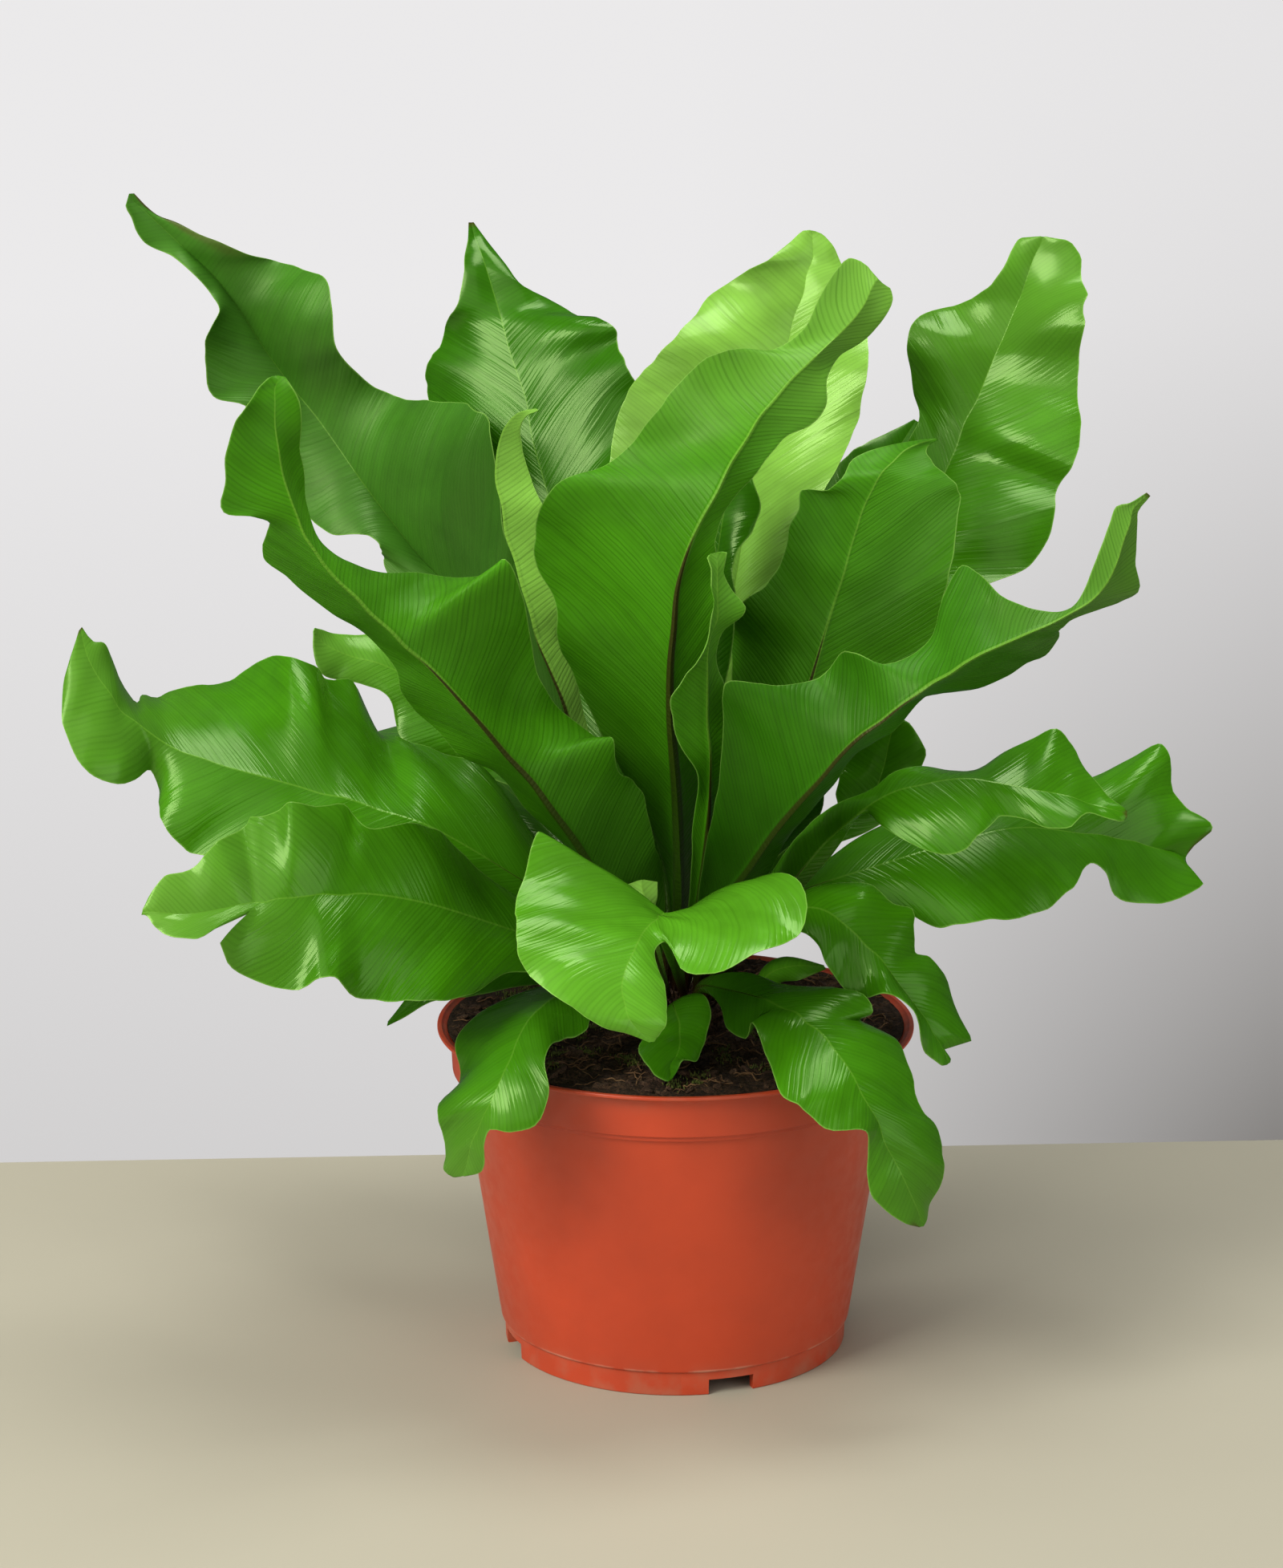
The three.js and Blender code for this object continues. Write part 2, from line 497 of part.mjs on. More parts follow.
    [130, 7, 168, 148, 30, 187, 133, -4, 162],
    [137, 9, 167, 158, 30, 192, 138, -4, 159],
    [143, 11, 165, 160, 28, 187, 141, -6, 152],
    [148, 12, 164, 162, 24, 178, 146, -6, 149],
    [153, 13, 162, 166, 21, 173, 154, -3, 147],
    [157, 13, 161, 172, 18, 170, 162, 1, 148],
    [161, 14, 160, 173, 16, 166, 170, 5, 152],
    [163, 14, 159, 168, 15, 162, 166, 9, 155],
    [165, 14, 158],
  ] },
  right_light: { seat: ['outer', 3], tone: 'mid', rows: [
    [22, -12, 140, 20, -8, 143, 25, -10, 138],
    [36, -14, 157, 32, -6, 161, 40, -12, 155],
    [47, -18, 172, 41, -9, 174, 51, -16, 170],
    [55, -26, 182, 51, -18, 185, 59, -20, 183],
    [62, -28, 188, 62, -20, 190, 64, -34, 182],
    [69, -29, 192, 69, -18, 195, 71, -40, 179],
    [76, -30, 194, 77, -16, 197, 80, -45, 177],
    [84, -31, 196, 86, -16, 196, 88, -46, 178],
    [92, -33, 197, 94, -18, 196, 95, -44, 182],
    [99, -34, 196, 103, -18, 201, 101, -40, 187],
    [106, -35, 195, 112, -18, 205, 108, -42, 187],
    [112, -36, 194, 119, -20, 209, 115, -46, 185],
    [118, -36, 193, 124, -22, 205, 122, -46, 185],
    [123, -37, 192, 127, -26, 200, 127, -42, 188],
    [128, -37, 190, 132, -31, 194, 132, -41, 187],
    [133, -38, 189, 135, -34, 191, 136, -41, 186],
    [137, -38, 188, 139, -37, 189, 139, -39, 185],
    [140, -38, 187],
  ] },
  right_behind: { seat: ['outer', 5], tone: 'mid', rows: [
    [28, 24, 144, 26, 25, 147, 31, 22, 143],
    [44, 31, 158, 41, 32, 160, 48, 29, 156],
    [57, 37, 165, 53, 37, 168, 65, 34, 162],
    [64, 40, 170, 53, 41, 172, 73, 36, 168],
    [67, 42, 176, 54, 43, 177, 78, 38, 175],
    [69, 44, 182, 53, 46, 180, 81, 40, 182],
    [70, 45, 187, 54, 48, 184, 82, 41, 187],
    [71, 46, 191, 60, 49, 189, 80, 43, 191],
    [72, 47, 194, 66, 49, 193, 77, 45, 195],
    [73, 48, 196],
  ] },
  under_left: { seat: ['outer', 13], tone: 'mid', rows: [
    [-26, -12, 124, -28, -14, 123, -25, -10, 125],
    [-47, -24, 131, -49, -29, 128, -45, -18, 134],
    [-62, -33, 134, -64, -41, 129, -60, -26, 138],
    [-75, -43, 133, -77, -50, 129, -75, -36, 137],
    [-90, -55, 124],
  ] },
  left_hidden: { seat: ['outer', 12], tone: 'dark', rows: [
    [-30, 8, 136, -32, 4, 135, -30, 12, 138],
    [-58, 22, 152, -64, 10, 149, -56, 35, 156],
    [-84, 36, 160, -90, 20, 156, -80, 52, 163],
    [-108, 48, 159, -116, 34, 155, -104, 62, 161],
    [-132, 60, 148],
  ] },
  back_low_left: { seat: ['outer', 10], tone: 'mid', rows: [
    [-26, 32, 140, -30, 30, 140, -22, 36, 141],
    [-52, 66, 163, -65, 59, 162, -42, 76, 166],
    [-78, 96, 174, -94, 85, 171, -64, 108, 175],
    [-102, 120, 172, -116, 108, 168, -88, 132, 172],
    [-124, 138, 158],
  ] },
  back_low_centre: { seat: ['outer', 9], tone: 'mid', rows: [
    [-12, 40, 138, -17, 40, 139, -7, 41, 139],
    [-20, 76, 156, -34, 75, 157, -6, 78, 157],
    [-27, 108, 162, -44, 105, 160, -10, 111, 162],
    [-32, 134, 158, -44, 131, 154, -20, 136, 156],
    [-35, 154, 144],
  ] },
  back_low_right: { seat: ['outer', 7], tone: 'dark', rows: [
    [13, 40, 136, 9, 42, 137, 18, 39, 136],
    [24, 74, 154, 12, 78, 156, 36, 70, 153],
    [32, 106, 162, 18, 111, 162, 48, 102, 160],
    [38, 132, 158, 28, 136, 157, 50, 128, 155],
    [42, 152, 146],
  ] },
  right_shaded: { seat: ['outer', 6], tone: 'dark', rows: [
    [23, 27, 143, 21, 29, 145, 26, 25, 144],
    [30, 36, 151, 26, 38, 154, 37, 33, 154],
    [35, 42, 157, 30, 44, 160, 44, 38, 159],
    [39, 47, 164, 32, 49, 167, 48, 43, 165],
    [42, 52, 170, 35, 53, 174, 49, 47, 172],
    [44, 56, 178, 38, 58, 183, 49, 52, 179],
    [47, 61, 186, 42, 62, 191, 52, 58, 186],
    [50, 66, 194, 46, 66, 198, 54, 64, 194],
    [54, 70, 201],
  ] },
  back_high: { seat: ['outer', 8], tone: 'mid', rows: [
    [-2, 34, 160, -8, 35, 161, 4, 35, 162],
    [-6, 64, 202, -24, 66, 206, 12, 67, 207],
    [-9, 96, 234, -32, 98, 240, 14, 100, 240],
    [-12, 126, 250, -30, 128, 256, 8, 131, 256],
    [-14, 148, 252],
  ] },
};

// A small frond by itself, rooted in the soil beside the crown
const SIDE_FROND = { tone: 'light', root: [20, -9, 98], rows: [
  [24, -14, 118, 23, -12, 119, 26, -16, 117],
  [30, -19, 129, 29, -15, 131, 33, -22, 127],
  [37, -24, 133, 35, -19, 135, 39, -29, 130],
  [47, -28, 134],
] };

const RAD = Math.PI / 180;

function material(colour, roughness) {
  return new THREE.MeshStandardMaterial({ color: colour, roughness, metalness: 0 });
}

function namedMesh(name, geometry, look) {
  geometry.computeVertexNormals();
  const mesh = new THREE.Mesh(geometry, look);
  mesh.name = name;
  return mesh;
}

// A closed geometry as a solid that can be joined and cut
function solid(geometry) {
  const bare = geometry.clone();
  bare.deleteAttribute('normal');
  bare.deleteAttribute('uv');
  const merged = mergeVertices(bare, 1e-4);
  return new wasm.Manifold(new wasm.Mesh({
    numProp: 3,
    vertProperties: new Float32Array(merged.attributes.position.array),
    triVerts: new Uint32Array(merged.index.array),
  }));
}

function geometryOf(body) {
  const mesh = body.getMesh();
  const geometry = new THREE.BufferGeometry();
  geometry.setAttribute('position', new THREE.BufferAttribute(mesh.vertProperties, 3));
  geometry.setIndex(new THREE.BufferAttribute(mesh.triVerts, 1));
  return geometry;
}

// A profile of [radius, height] turned about the Z axis
function turned(profile, sides) {
  const points = profile.map(([radius, height]) => new THREE.Vector2(radius, height));
  return new THREE.LatheGeometry(points, sides).rotateX(Math.PI / 2);
}

function uprightCylinder(radius, bottom, top, x, y, sides = 6) {
  const geometry = new THREE.CylinderGeometry(radius, radius, top - bottom, sides);
  return geometry.rotateX(Math.PI / 2).translate(x, y, (bottom + top) / 2);
}

// A block from one radius to another, centred on the given azimuth
function radialBlock(near, far, width, height, azimuthDeg) {
  const geometry = new THREE.BoxGeometry(far - near, width, height + 1);
  geometry.translate((near + far) / 2, 0, (height - 1) / 2);
  return geometry.rotateZ(azimuthDeg * RAD);
}

// A curved wedge of a ring, closed on every side
function ringSector(near, far, arcDeg, height, azimuthDeg) {
  const half = (arcDeg / 2) * RAD;
  const shape = new THREE.Shape();
  shape.absarc(0, 0, far, -half, half, false);
  shape.absarc(0, 0, near, half, -half, true);
  const geometry = new THREE.ExtrudeGeometry(shape, {
    depth: height + 1, bevelEnabled: false, curveSegments: 8,
  });
  return geometry.translate(0, 0, -1).rotateZ(azimuthDeg * RAD);
}

function makePot() {
  const lipUnder = POT_HEIGHT - LIP_THICKNESS;
  const wallTopInner = COLLAR_RADIUS - WALL;
  let pot = solid(turned([
    [0, FLOOR_TOP],
    [WALL_BOTTOM_RADIUS - WALL, FLOOR_TOP],
    [WALL_TOP_RADIUS - WALL, STEP_BOTTOM - 1.5],
    [wallTopInner, COLLAR_BOTTOM + 1],
    [wallTopInner + 0.2, lipUnder - 1],
    [RIM_RADIUS - LIP_WIDTH - 0.5, POT_HEIGHT - 0.5],
    [RIM_RADIUS - LIP_WIDTH, POT_HEIGHT],
    [RIM_RADIUS - 0.3, POT_HEIGHT],
    [RIM_RADIUS, POT_HEIGHT - 0.3],
    [RIM_RADIUS, lipUnder],
    [RIM_RADIUS - 2, lipUnder - 0.5],
    [COLLAR_RADIUS + 0.2, lipUnder - 1.3],
    [COLLAR_RADIUS - 0.4, COLLAR_BOTTOM],
    [STEP_RADIUS, COLLAR_BOTTOM - 0.1],
    [STEP_RADIUS, STEP_BOTTOM],
    [WALL_TOP_RADIUS, STEP_BOTTOM - 0.1],
    [WALL_BOTTOM_RADIUS, FOOT_TOP],
    [FOOT_RADIUS + 0.3, FOOT_TOP - 0.6],
    [FOOT_RADIUS, 0.5],
    [FOOT_RADIUS - 0.5, 0],
    [FOOT_RADIUS - 3.2, 0],
    [FOOT_RADIUS - 3.6, FLOOR_UNDERSIDE],
    [CENTRE_PAD_RADIUS + 0.6, FLOOR_UNDERSIDE],
    [CENTRE_PAD_RADIUS, 0],
    [0, 0],
  ].reverse(), POT_SIDES));
  for (let i = 0; i < RECESSES; i += 1) {
    const azimuth = RECESS_FIRST_DEG + (i * 360) / RECESSES;
    const near = FOOT_RADIUS - RECESS_DEPTH;
    const recess = ringSector(near, FOOT_RADIUS + 4, RECESS_ARC_DEG, RECESS_HEIGHT, azimuth);
    const slot = radialBlock(FOOT_RADIUS - 8, FOOT_RADIUS + 4, SLOT_WIDTH, SLOT_HEIGHT, azimuth);
    pot = pot.subtract(solid(recess)).subtract(solid(slot));
  }
  return geometryOf(pot);
}

// Inner radius of the pot at a height, less the fitting gap
function soilRadius(height) {
  const bottom = WALL_BOTTOM_RADIUS - WALL;
  const top = WALL_TOP_RADIUS - WALL;
  const share = (height - FLOOR_TOP) / (STEP_BOTTOM - 1.5 - FLOOR_TOP);
  return bottom + (top - bottom) * Math.min(share, 1) - FIT_GAP;
}

function soilLump(x, y) {
  const broad = Math.sin(x * 0.17 + 1.3) * Math.cos(y * 0.14 - 0.6);
  const fine = Math.sin(x * 0.41 - y * 0.23) * Math.cos(y * 0.47 + x * 0.11 + 0.9);
  return SOIL_LUMP * (0.6 * broad + 0.4 * fine);
}

function makeSoil() {
  const sides = 40;
  const bed = FLOOR_TOP + FIT_GAP;
  const bend = STEP_BOTTOM - 1.5;
  const edge = COLLAR_RADIUS - WALL - FIT_GAP;
  const hole = CROWN_RADIUS + FIT_GAP;
  const profile = [[0, bed], [soilRadius(bed), bed], [soilRadius(bend), bend]];
  profile.push([edge, COLLAR_BOTTOM + 1.4], [edge, SOIL_BRIM_Z - SOIL_FLARE]);
  profile.push([SOIL_BRIM_RADIUS, SOIL_BRIM_Z]);
  for (const radius of [66, 58, 50, 42, 34, 27, 21, hole]) {
    const dip = Math.cos(((radius / SOIL_BRIM_RADIUS) * Math.PI) / 2);
    profile.push([radius, SOIL_BRIM_Z - SOIL_DIP * dip]);
  }
  profile.push([hole, CROWN_FOOT_Z - FIT_GAP], [0, CROWN_FOOT_Z - FIT_GAP]);
  const geometry = turned(profile, sides);
  const place = geometry.attributes.position;
  for (let i = 0; i < place.count; i += 1) {
    const [x, y, z] = [place.getX(i), place.getY(i), place.getZ(i)];
    const radius = Math.hypot(x, y);
    const onTop = z > SOIL_BRIM_Z - SOIL_DIP - 0.01;
    const inside = radius > hole + 1 && radius < edge;
    if (onTop && inside) place.setZ(i, z + soilLump(x, y));
  }
  const [rootX, rootY, rootZ] = SIDE_FROND.root;
  const socket = uprightCylinder(SOCKET_RADIUS, rootZ - FIT_GAP, 120, rootX, rootY);
  return geometryOf(solid(geometry).subtract(solid(socket)));
}

function crownHeight(radius) {
  const rise = Math.sqrt(Math.max(0, 1 - (radius / (CROWN_RADIUS + 1.5)) ** 2));
  return CROWN_SHOULDER_Z + (CROWN_TOP_Z - CROWN_SHOULDER_Z) * rise;
}

function seatPlace([ring, number]) {
  const { radius, seats, firstDeg } = SEAT_RINGS[ring];
  const angle = (firstDeg + (number * 360) / seats) * RAD;
  return [radius * Math.cos(angle), radius * Math.sin(angle), radius];
}

// A dried stub of an old stalk, leaning out of the crown's flank
function stub(number) {
  const outerStep = 360 / SEAT_RINGS.outer.seats;
  const angle = (SEAT_RINGS.outer.firstDeg + outerStep * (2 * number + 0.5)) * RAD;
  const length = STUB_LENGTH * (0.8 + 0.2 * Math.sin(number * 2.4));
  const geometry = new THREE.CylinderGeometry(STUB_RADIUS * 0.7, STUB_RADIUS, length, 7);
  geometry.rotateX(Math.PI / 2).translate(0, 0, length / 2);
  geometry.rotateY(52 * RAD).rotateZ(angle);
  const root = CROWN_RADIUS - 2.6;
  return geometry.translate(root * Math.cos(angle), root * Math.sin(angle), 108.4);
}

function makeCrown() {
  const profile = [[0, CROWN_FOOT_Z], [CROWN_RADIUS - 1, CROWN_FOOT_Z]];
  profile.push([CROWN_RADIUS, CROWN_FOOT_Z + 1], [CROWN_RADIUS, CROWN_SHOULDER_Z]);
  for (const radius of [14.4, 12.4, 9.6, 6.4, 3.2, 0]) {
    profile.push([radius, crownHeight(radius)]);
  }
  let crown = solid(turned(profile, CROWN_SIDES));
  for (let i = 0; i < STUBS; i += 1) {
    crown = crown.add(solid(stub(i)));
  }
  for (const { seat } of Object.values(FRONDS)) {
    const [x, y] = seatPlace(seat);
    const socket = uprightCylinder(SOCKET_RADIUS, SOCKET_FLOOR_Z, 125, x, y);
    crown = crown.subtract(solid(socket));
  }
  return geometryOf(crown);
}

// The stalk's foot: two level rows of three points, upright in the socket
function footRows(foot, top, firstRow) {
  const [dx, dy] = [firstRow[6] - firstRow[3], firstRow[7] - firstRow[4]];
  const size = Math.hypot(dx, dy) || 1;
  const side = [(dx / size) * STALK_HALF, (dy / size) * STALK_HALF];
  return [foot, top].map(([x, y, z]) => [
    x, y, z, x - side[0], y - side[1], z, x + side[0], y + side[1], z,
  ]);
}

// The tip's point widened into a blunt end that follows the row before it
function tipRow(tip, before) {
  const rib = new THREE.Vector3(...tip);
  const left = new THREE.Vector3(...before.slice(3, 6));
  const right = new THREE.Vector3(...before.slice(6, 9));
  const side = right.sub(left).normalize().multiplyScalar(TIP_HALF);
  return [...tip, ...rib.clone().sub(side).toArray(), ...rib.clone().add(side).toArray()];
}

function rail(rows, first) {
  const points = rows.map((row) => new THREE.Vector3(...row.slice(first, first + 3)));
  return new THREE.CatmullRomCurve3(points, false, 'centripetal');
}

// Stations stand at every row, and evenly between rows that are far apart.
// Each is its place along the rail, from 0 to 1, and its distance from the root.
function stationsOf(rows) {
  const stations = [{ place: 0, distance: 0 }];
  for (let i = 1; i < rows.length; i += 1) {
    const rib = rows[i].slice(0, 3).map((value, axis) => value - rows[i - 1][axis]);
    const span = Math.hypot(...rib);
    const start = stations[stations.length - 1].distance;
    const parts = Math.max(1, Math.round(span / STATION_STEP));
    for (let part = 1; part <= parts; part += 1) {
      const place = (i - 1 + part / parts) / (rows.length - 1);
      stations.push({ place, distance: start + (span * part) / parts });
    }
  }
  return stations;
}

// The middle surface of a blade: for each station a row of points across it.
// Its waves run the way the veins do, slanting from the midrib towards the tip.
function bladeSurface(foot, rows, number) {
  const rib = rail(rows, 0);
  const left = rail(rows, 3);
  const right = rail(rows, 6);
  const surface = [foot];
  for (const { place, distance } of stationsOf(rows)) {
    const middle = rib.getPoint(place);
    const margins = { '-1': left.getPoint(place), 1: right.getPoint(place) };
    const normal = margins[1].clone().sub(margins[-1]).cross(rib.getTangent(place)).normalize();
    surface.push(COLUMNS.map((across) => {
      const side = Math.sign(across) || 1;
      const reach = Math.abs(across);
      const width = margins[side].distanceTo(middle);
      const run = distance - VEIN_SLANT * width * reach;
      const phase = (2 * Math.PI * run) / WAVE_LENGTH + side * 1.1 + number * 1.7;
      const wave = Math.min(WAVE_MOST, width * WAVE_SHARE) * reach ** WAVE_RISE * Math.sin(phase);
      const bow = width * BOW_SHARE * Math.sin(Math.PI * reach);
      return middle.clone().lerp(margins[side], reach).addScaledVector(normal, wave + bow);
    }));
  }
  return surface;
}

function surfaceNormals(surface) {
  const last = surface.length - 1;
  return surface.map((row, i) => row.map((point, j) => {
    const along = surface[Math.min(i + 1, last)][j].clone().sub(surface[Math.max(i - 1, 0)][j]);
    const next = row[Math.min(j + 1, row.length - 1)];
    const across = next.clone().sub(row[Math.max(j - 1, 0)]);
    return across.cross(along).normalize();
  }));
}

// Half the thickness above and below the middle surface
function halfThickness(across, share, stalk) {
  const round = Math.sqrt(Math.max(0, 1 - across * across));
  const above = HALF_THICKNESS + stalk * round * (STALK_HALF - HALF_THICKNESS);
  const keel = across === 0 ? RIB_DEPTH * (1 - share) * (1 - stalk) : 0;
  return { above, below: above + keel };
}

// Both faces and the rim of a blade, split into triangles alike on both faces
function makeFrond(foot, top, givenRows, number) {
  const rows = [...givenRows];
  const tip = rows.pop();
  const stalkRows = footRows(foot, top, rows[0]);
  const full = [stalkRows[1], ...rows, tipRow(tip, rows[rows.length - 1])];
  const [x, y, z, lx, ly, lz] = stalkRows[0];
  const footCentre = new THREE.Vector3(x, y, z);
  const halfFoot = new THREE.Vector3(lx, ly, lz).sub(footCentre);
  const footLine = COLUMNS.map((across) => footCentre.clone().addScaledVector(halfFoot, -across));
  const surface = bladeSurface(footLine, full, number);
  const normals = surfaceNormals(surface);
  normals[1] = normals[0];
  const wide = COLUMNS.length;
  const position = [];
  surface.forEach((row, i) => {
    const share = i / (surface.length - 1);
    const width = row[0].distanceTo(row[wide - 1]);
    const stalk = Math.min(1, Math.max(0, 1 - (width / 2 - STALK_HALF) / 5)) * (1 - share);
    row.forEach((point, j) => {
      const { above, below } = halfThickness(COLUMNS[j], share, i < 2 ? 1 : stalk);
      position.push(...point.clone().addScaledVector(normals[i][j], above).toArray());
      position.push(...point.clone().addScaledVector(normals[i][j], -below).toArray());
    });
  });
  const vertex = (i, j, face) => 2 * (i * wide + j) + face;
  const index = [];
  const quad = (a, b, c, d) => index.push(a, b, c, a, c, d);
  const [last, edge] = [surface.length - 1, wide - 1];
  for (let i = 0; i < last; i += 1) {
    for (let j = 0; j < edge; j += 1) {
      quad(vertex(i, j, 0), vertex(i, j + 1, 0), vertex(i + 1, j + 1, 0), vertex(i + 1, j, 0));
      index.push(vertex(i, j, 1), vertex(i + 1, j + 1, 1), vertex(i, j + 1, 1));
      index.push(vertex(i, j, 1), vertex(i + 1, j, 1), vertex(i + 1, j + 1, 1));
    }
    quad(vertex(i, 0, 1), vertex(i, 0, 0), vertex(i + 1, 0, 0), vertex(i + 1, 0, 1));
    quad(vertex(i, edge, 0), vertex(i, edge, 1), vertex(i + 1, edge, 1), vertex(i + 1, edge, 0));
  }
  for (let j = 0; j < edge; j += 1) {
    quad(vertex(0, j, 1), vertex(0, j + 1, 1), vertex(0, j + 1, 0), vertex(0, j, 0));
    quad(vertex(last, j, 0), vertex(last, j + 1, 0), vertex(last, j + 1, 1), vertex(last, j, 1));
  }
  const geometry = new THREE.BufferGeometry();
  geometry.setAttribute('position', new THREE.Float32BufferAttribute(position, 3));
  geometry.setIndex(index);
  return geometry;
}

const fern = new THREE.Group();
fern.add(namedMesh('pot', makePot(), material(0xb9482c, 0.45)));
fern.add(namedMesh('soil', makeSoil(), material(0x3a2a20, 0.95)));
fern.add(namedMesh('crown', makeCrown(), material(0x4a3320, 0.85)));

Object.entries(FRONDS).forEach(([name, { seat, tone, rows }], number) => {
  const [x, y, radius] = seatPlace(seat);
  const foot = [x, y, SOCKET_FLOOR_Z + FIT_GAP];
  const top = [x, y, crownHeight(radius) + 1.5];
  fern.add(namedMesh(`frond_${name}`, makeFrond(foot, top, rows, number), material(LEAF[tone], 0.4)));
});

const [sideX, sideY, sideZ] = SIDE_FROND.root;
const sideTop = [sideX, sideY, SOIL_BRIM_Z + 1.6];
const sideBlade = makeFrond([sideX, sideY, sideZ], sideTop, SIDE_FROND.rows, 0);
fern.add(namedMesh('frond_side', sideBlade, material(LEAF[SIDE_FROND.tone], 0.4)));

export default fern;
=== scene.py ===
"""A bird's-nest fern in a nursery pot: wavy leaves, crown, soil, pot and a plain stage."""
import math
import random

import bmesh
import bpy
import numpy as np
from bpy.props import FloatProperty, FloatVectorProperty, IntProperty, PointerProperty
from mathutils import Matrix, Vector, noise


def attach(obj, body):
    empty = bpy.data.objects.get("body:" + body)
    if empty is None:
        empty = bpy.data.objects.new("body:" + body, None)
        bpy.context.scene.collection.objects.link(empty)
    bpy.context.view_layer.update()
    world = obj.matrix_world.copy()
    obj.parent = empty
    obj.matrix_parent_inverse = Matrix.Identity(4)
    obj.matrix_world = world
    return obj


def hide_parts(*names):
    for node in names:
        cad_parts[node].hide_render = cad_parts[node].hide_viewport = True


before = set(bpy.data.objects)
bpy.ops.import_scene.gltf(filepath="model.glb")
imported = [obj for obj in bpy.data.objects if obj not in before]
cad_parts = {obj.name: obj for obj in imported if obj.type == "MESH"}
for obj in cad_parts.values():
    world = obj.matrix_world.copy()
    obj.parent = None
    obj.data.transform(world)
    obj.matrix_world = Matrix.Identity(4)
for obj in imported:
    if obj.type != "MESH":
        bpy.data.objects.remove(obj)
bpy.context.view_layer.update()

bl_info = {
    "name": "Potted Fern",
    "version": (1, 0, 0),
    "blender": (4, 5, 0),
    "location": "3D View > Sidebar > Fern",
    "description": "Builds a bird's-nest fern with its crown, soil and nursery pot",
    "category": "Add Mesh",
}

MM = 0.001
BODY = "root"

# Pot, as in the part's source, in millimetres
RIM_RADIUS = 77.0
POT_HEIGHT = 107.2
LIP_THICKNESS = 1.1
LIP_WIDTH = 1.4
COLLAR_RADIUS = 72.6
COLLAR_BOTTOM = 92.4
STEP_RADIUS = 70.9
STEP_BOTTOM = 90.7
WALL_TOP_RADIUS = 69.4
WALL_BOTTOM_RADIUS = 57.0
FOOT_TOP = 8.4
FOOT_RADIUS = 55.6
WALL = 1.8
FLOOR_UNDERSIDE = 6.6
FLOOR_TOP = 8.6
CENTRE_PAD_RADIUS = 9.0
RECESSES = 4
RECESS_FIRST_DEG = -71.5
RECESS_ARC_DEG = 33.6
RECESS_HEIGHT = 5.4
RECESS_DEPTH = 2.0
SLOT_WIDTH = 15.0
SLOT_HEIGHT = 5.2

# Radius of each rounded corner of the pot's section, by the corner's number
POT_CORNERS = {
    1: 3.0, 4: 1.5, 5: 0.5, 7: 0.35, 8: 0.35, 9: 0.6, 10: 0.8, 11: 0.5, 12: 0.35,
    13: 0.4, 14: 0.4, 15: 0.45, 16: 0.3, 17: 0.5, 18: 0.4, 19: 0.8, 20: 0.8, 21: 0.5,
}

# Soil, in millimetres
SOIL_BRIM_RADIUS = 73.8
SOIL_BRIM_Z = 106.6
SOIL_FLARE = 1.4
SOIL_DIP = 0.4
SOIL_LUMP = 1.3
SOIL_GAP = 0.3
SOIL_EDGE = COLLAR_RADIUS - WALL - SOIL_GAP

# Clods and grains of the soil: how close together, how high in millimetres, and a start for the noise
SOIL_BUMPS = ((0.5, 1.1, 3.0), (1.3, 0.55, 9.0))

# Chips, fibres and moss on the soil: least and most of each measure, in millimetres
CHIP_SIZE = (1.6, 6.5)
FIBRE_STEPS = 7
FIBRE_STEP = (0.8, 2.0)
FIBRE_LIFT = (0.2, 1.3)
FIBRE_HALF = (0.12, 0.3)
MOSS_SPREAD = (1.5, 5.0)
MOSS_CROWDING = 16
MOSS_HEIGHT = (0.7, 1.7)
MOSS_HALF = (0.18, 0.34)

# Crown with its scales and the stubs of old stalks, in millimetres
CROWN_RADIUS = 15.4
CROWN_SHOULDER_Z = 108.0
CROWN_TOP_Z = 117.6
CROWN_DOME_SPREAD = 1.5
CROWN_FLANK_DEPTH = 14.0
SCALE_LENGTH = (2.0, 4.6)
SCALE_HALF = (0.18, 0.42)
STUBS = 8
STUB_RADIUS = 1.7
STUB_LENGTH = 9.0
STUB_LEAN_DEG = 52.0
STUB_FOOT_Z = 108.4
STUB_DEEP = 2.6

# Share of the crown's rings that form its dome, and how fast the dome widens with them
CROWN_DOME_SHARE = 0.69
CROWN_DOME_GROWTH = 1.45

# Unevenness of the crown: how far out and up it goes in millimetres, and how close together it is
CROWN_ROUGH = 0.7
CROWN_ROUGH_UP = 0.8
CROWN_ROUGH_CLOSE = 0.9

# Stalks, in millimetres
STALK_HALF = 1.15
STALK_OVER_CROWN = 1.5
STALK_OVER_SOIL = 1.6
STALK_TO_BLADE = 5.0
SOCKET_FLOOR_Z = 105.0
SEAT_GAP = 0.3

# Rings of seats on the crown: radius, number of seats and the angle of the first one
SEAT_RINGS = {"inner": (3.6, 5, -90.0), "middle": (8.0, 10, -72.0), "outer": (12.7, 16, -90.0)}

# Thickness of a blade and its midrib, in millimetres and in shares of the whole
HALF_THICKNESS = 0.3
EDGE_THIN = 0.35
EDGE_ROUND = 0.06
TIP_THINNER = 0.35
RIB_DEPTH = 1.5
RIB_TAPER = 1.2
RIB_RISE = 0.12
RIB_HALF_ROOT = 1.5
RIB_HALF_TIP = 0.45

# Waves, ruffles and nicks of the margin, in millimetres and in shares of the blade's width
WAVE_LENGTH = 36.0
WAVE_SHARE = 0.07
WAVE_MOST = 1.6
WAVE_RISE = 2.2
WAVE_SIDE_TURN = 1.1
WAVE_FROND_TURN = 1.7
RUFFLE_LENGTHS = (9.0, 4.0)
SMALL_RUFFLE = 0.3
RUFFLE_MOST = 0.8
RUFFLE_SHARE = 0.03
NICK_LENGTH = 6.0
NICK_MOST = 0.5
NICK_SHARE = 0.03
NICK_RISE = 4
NICK_SEED = 30
BOW_SHARE = 0.055

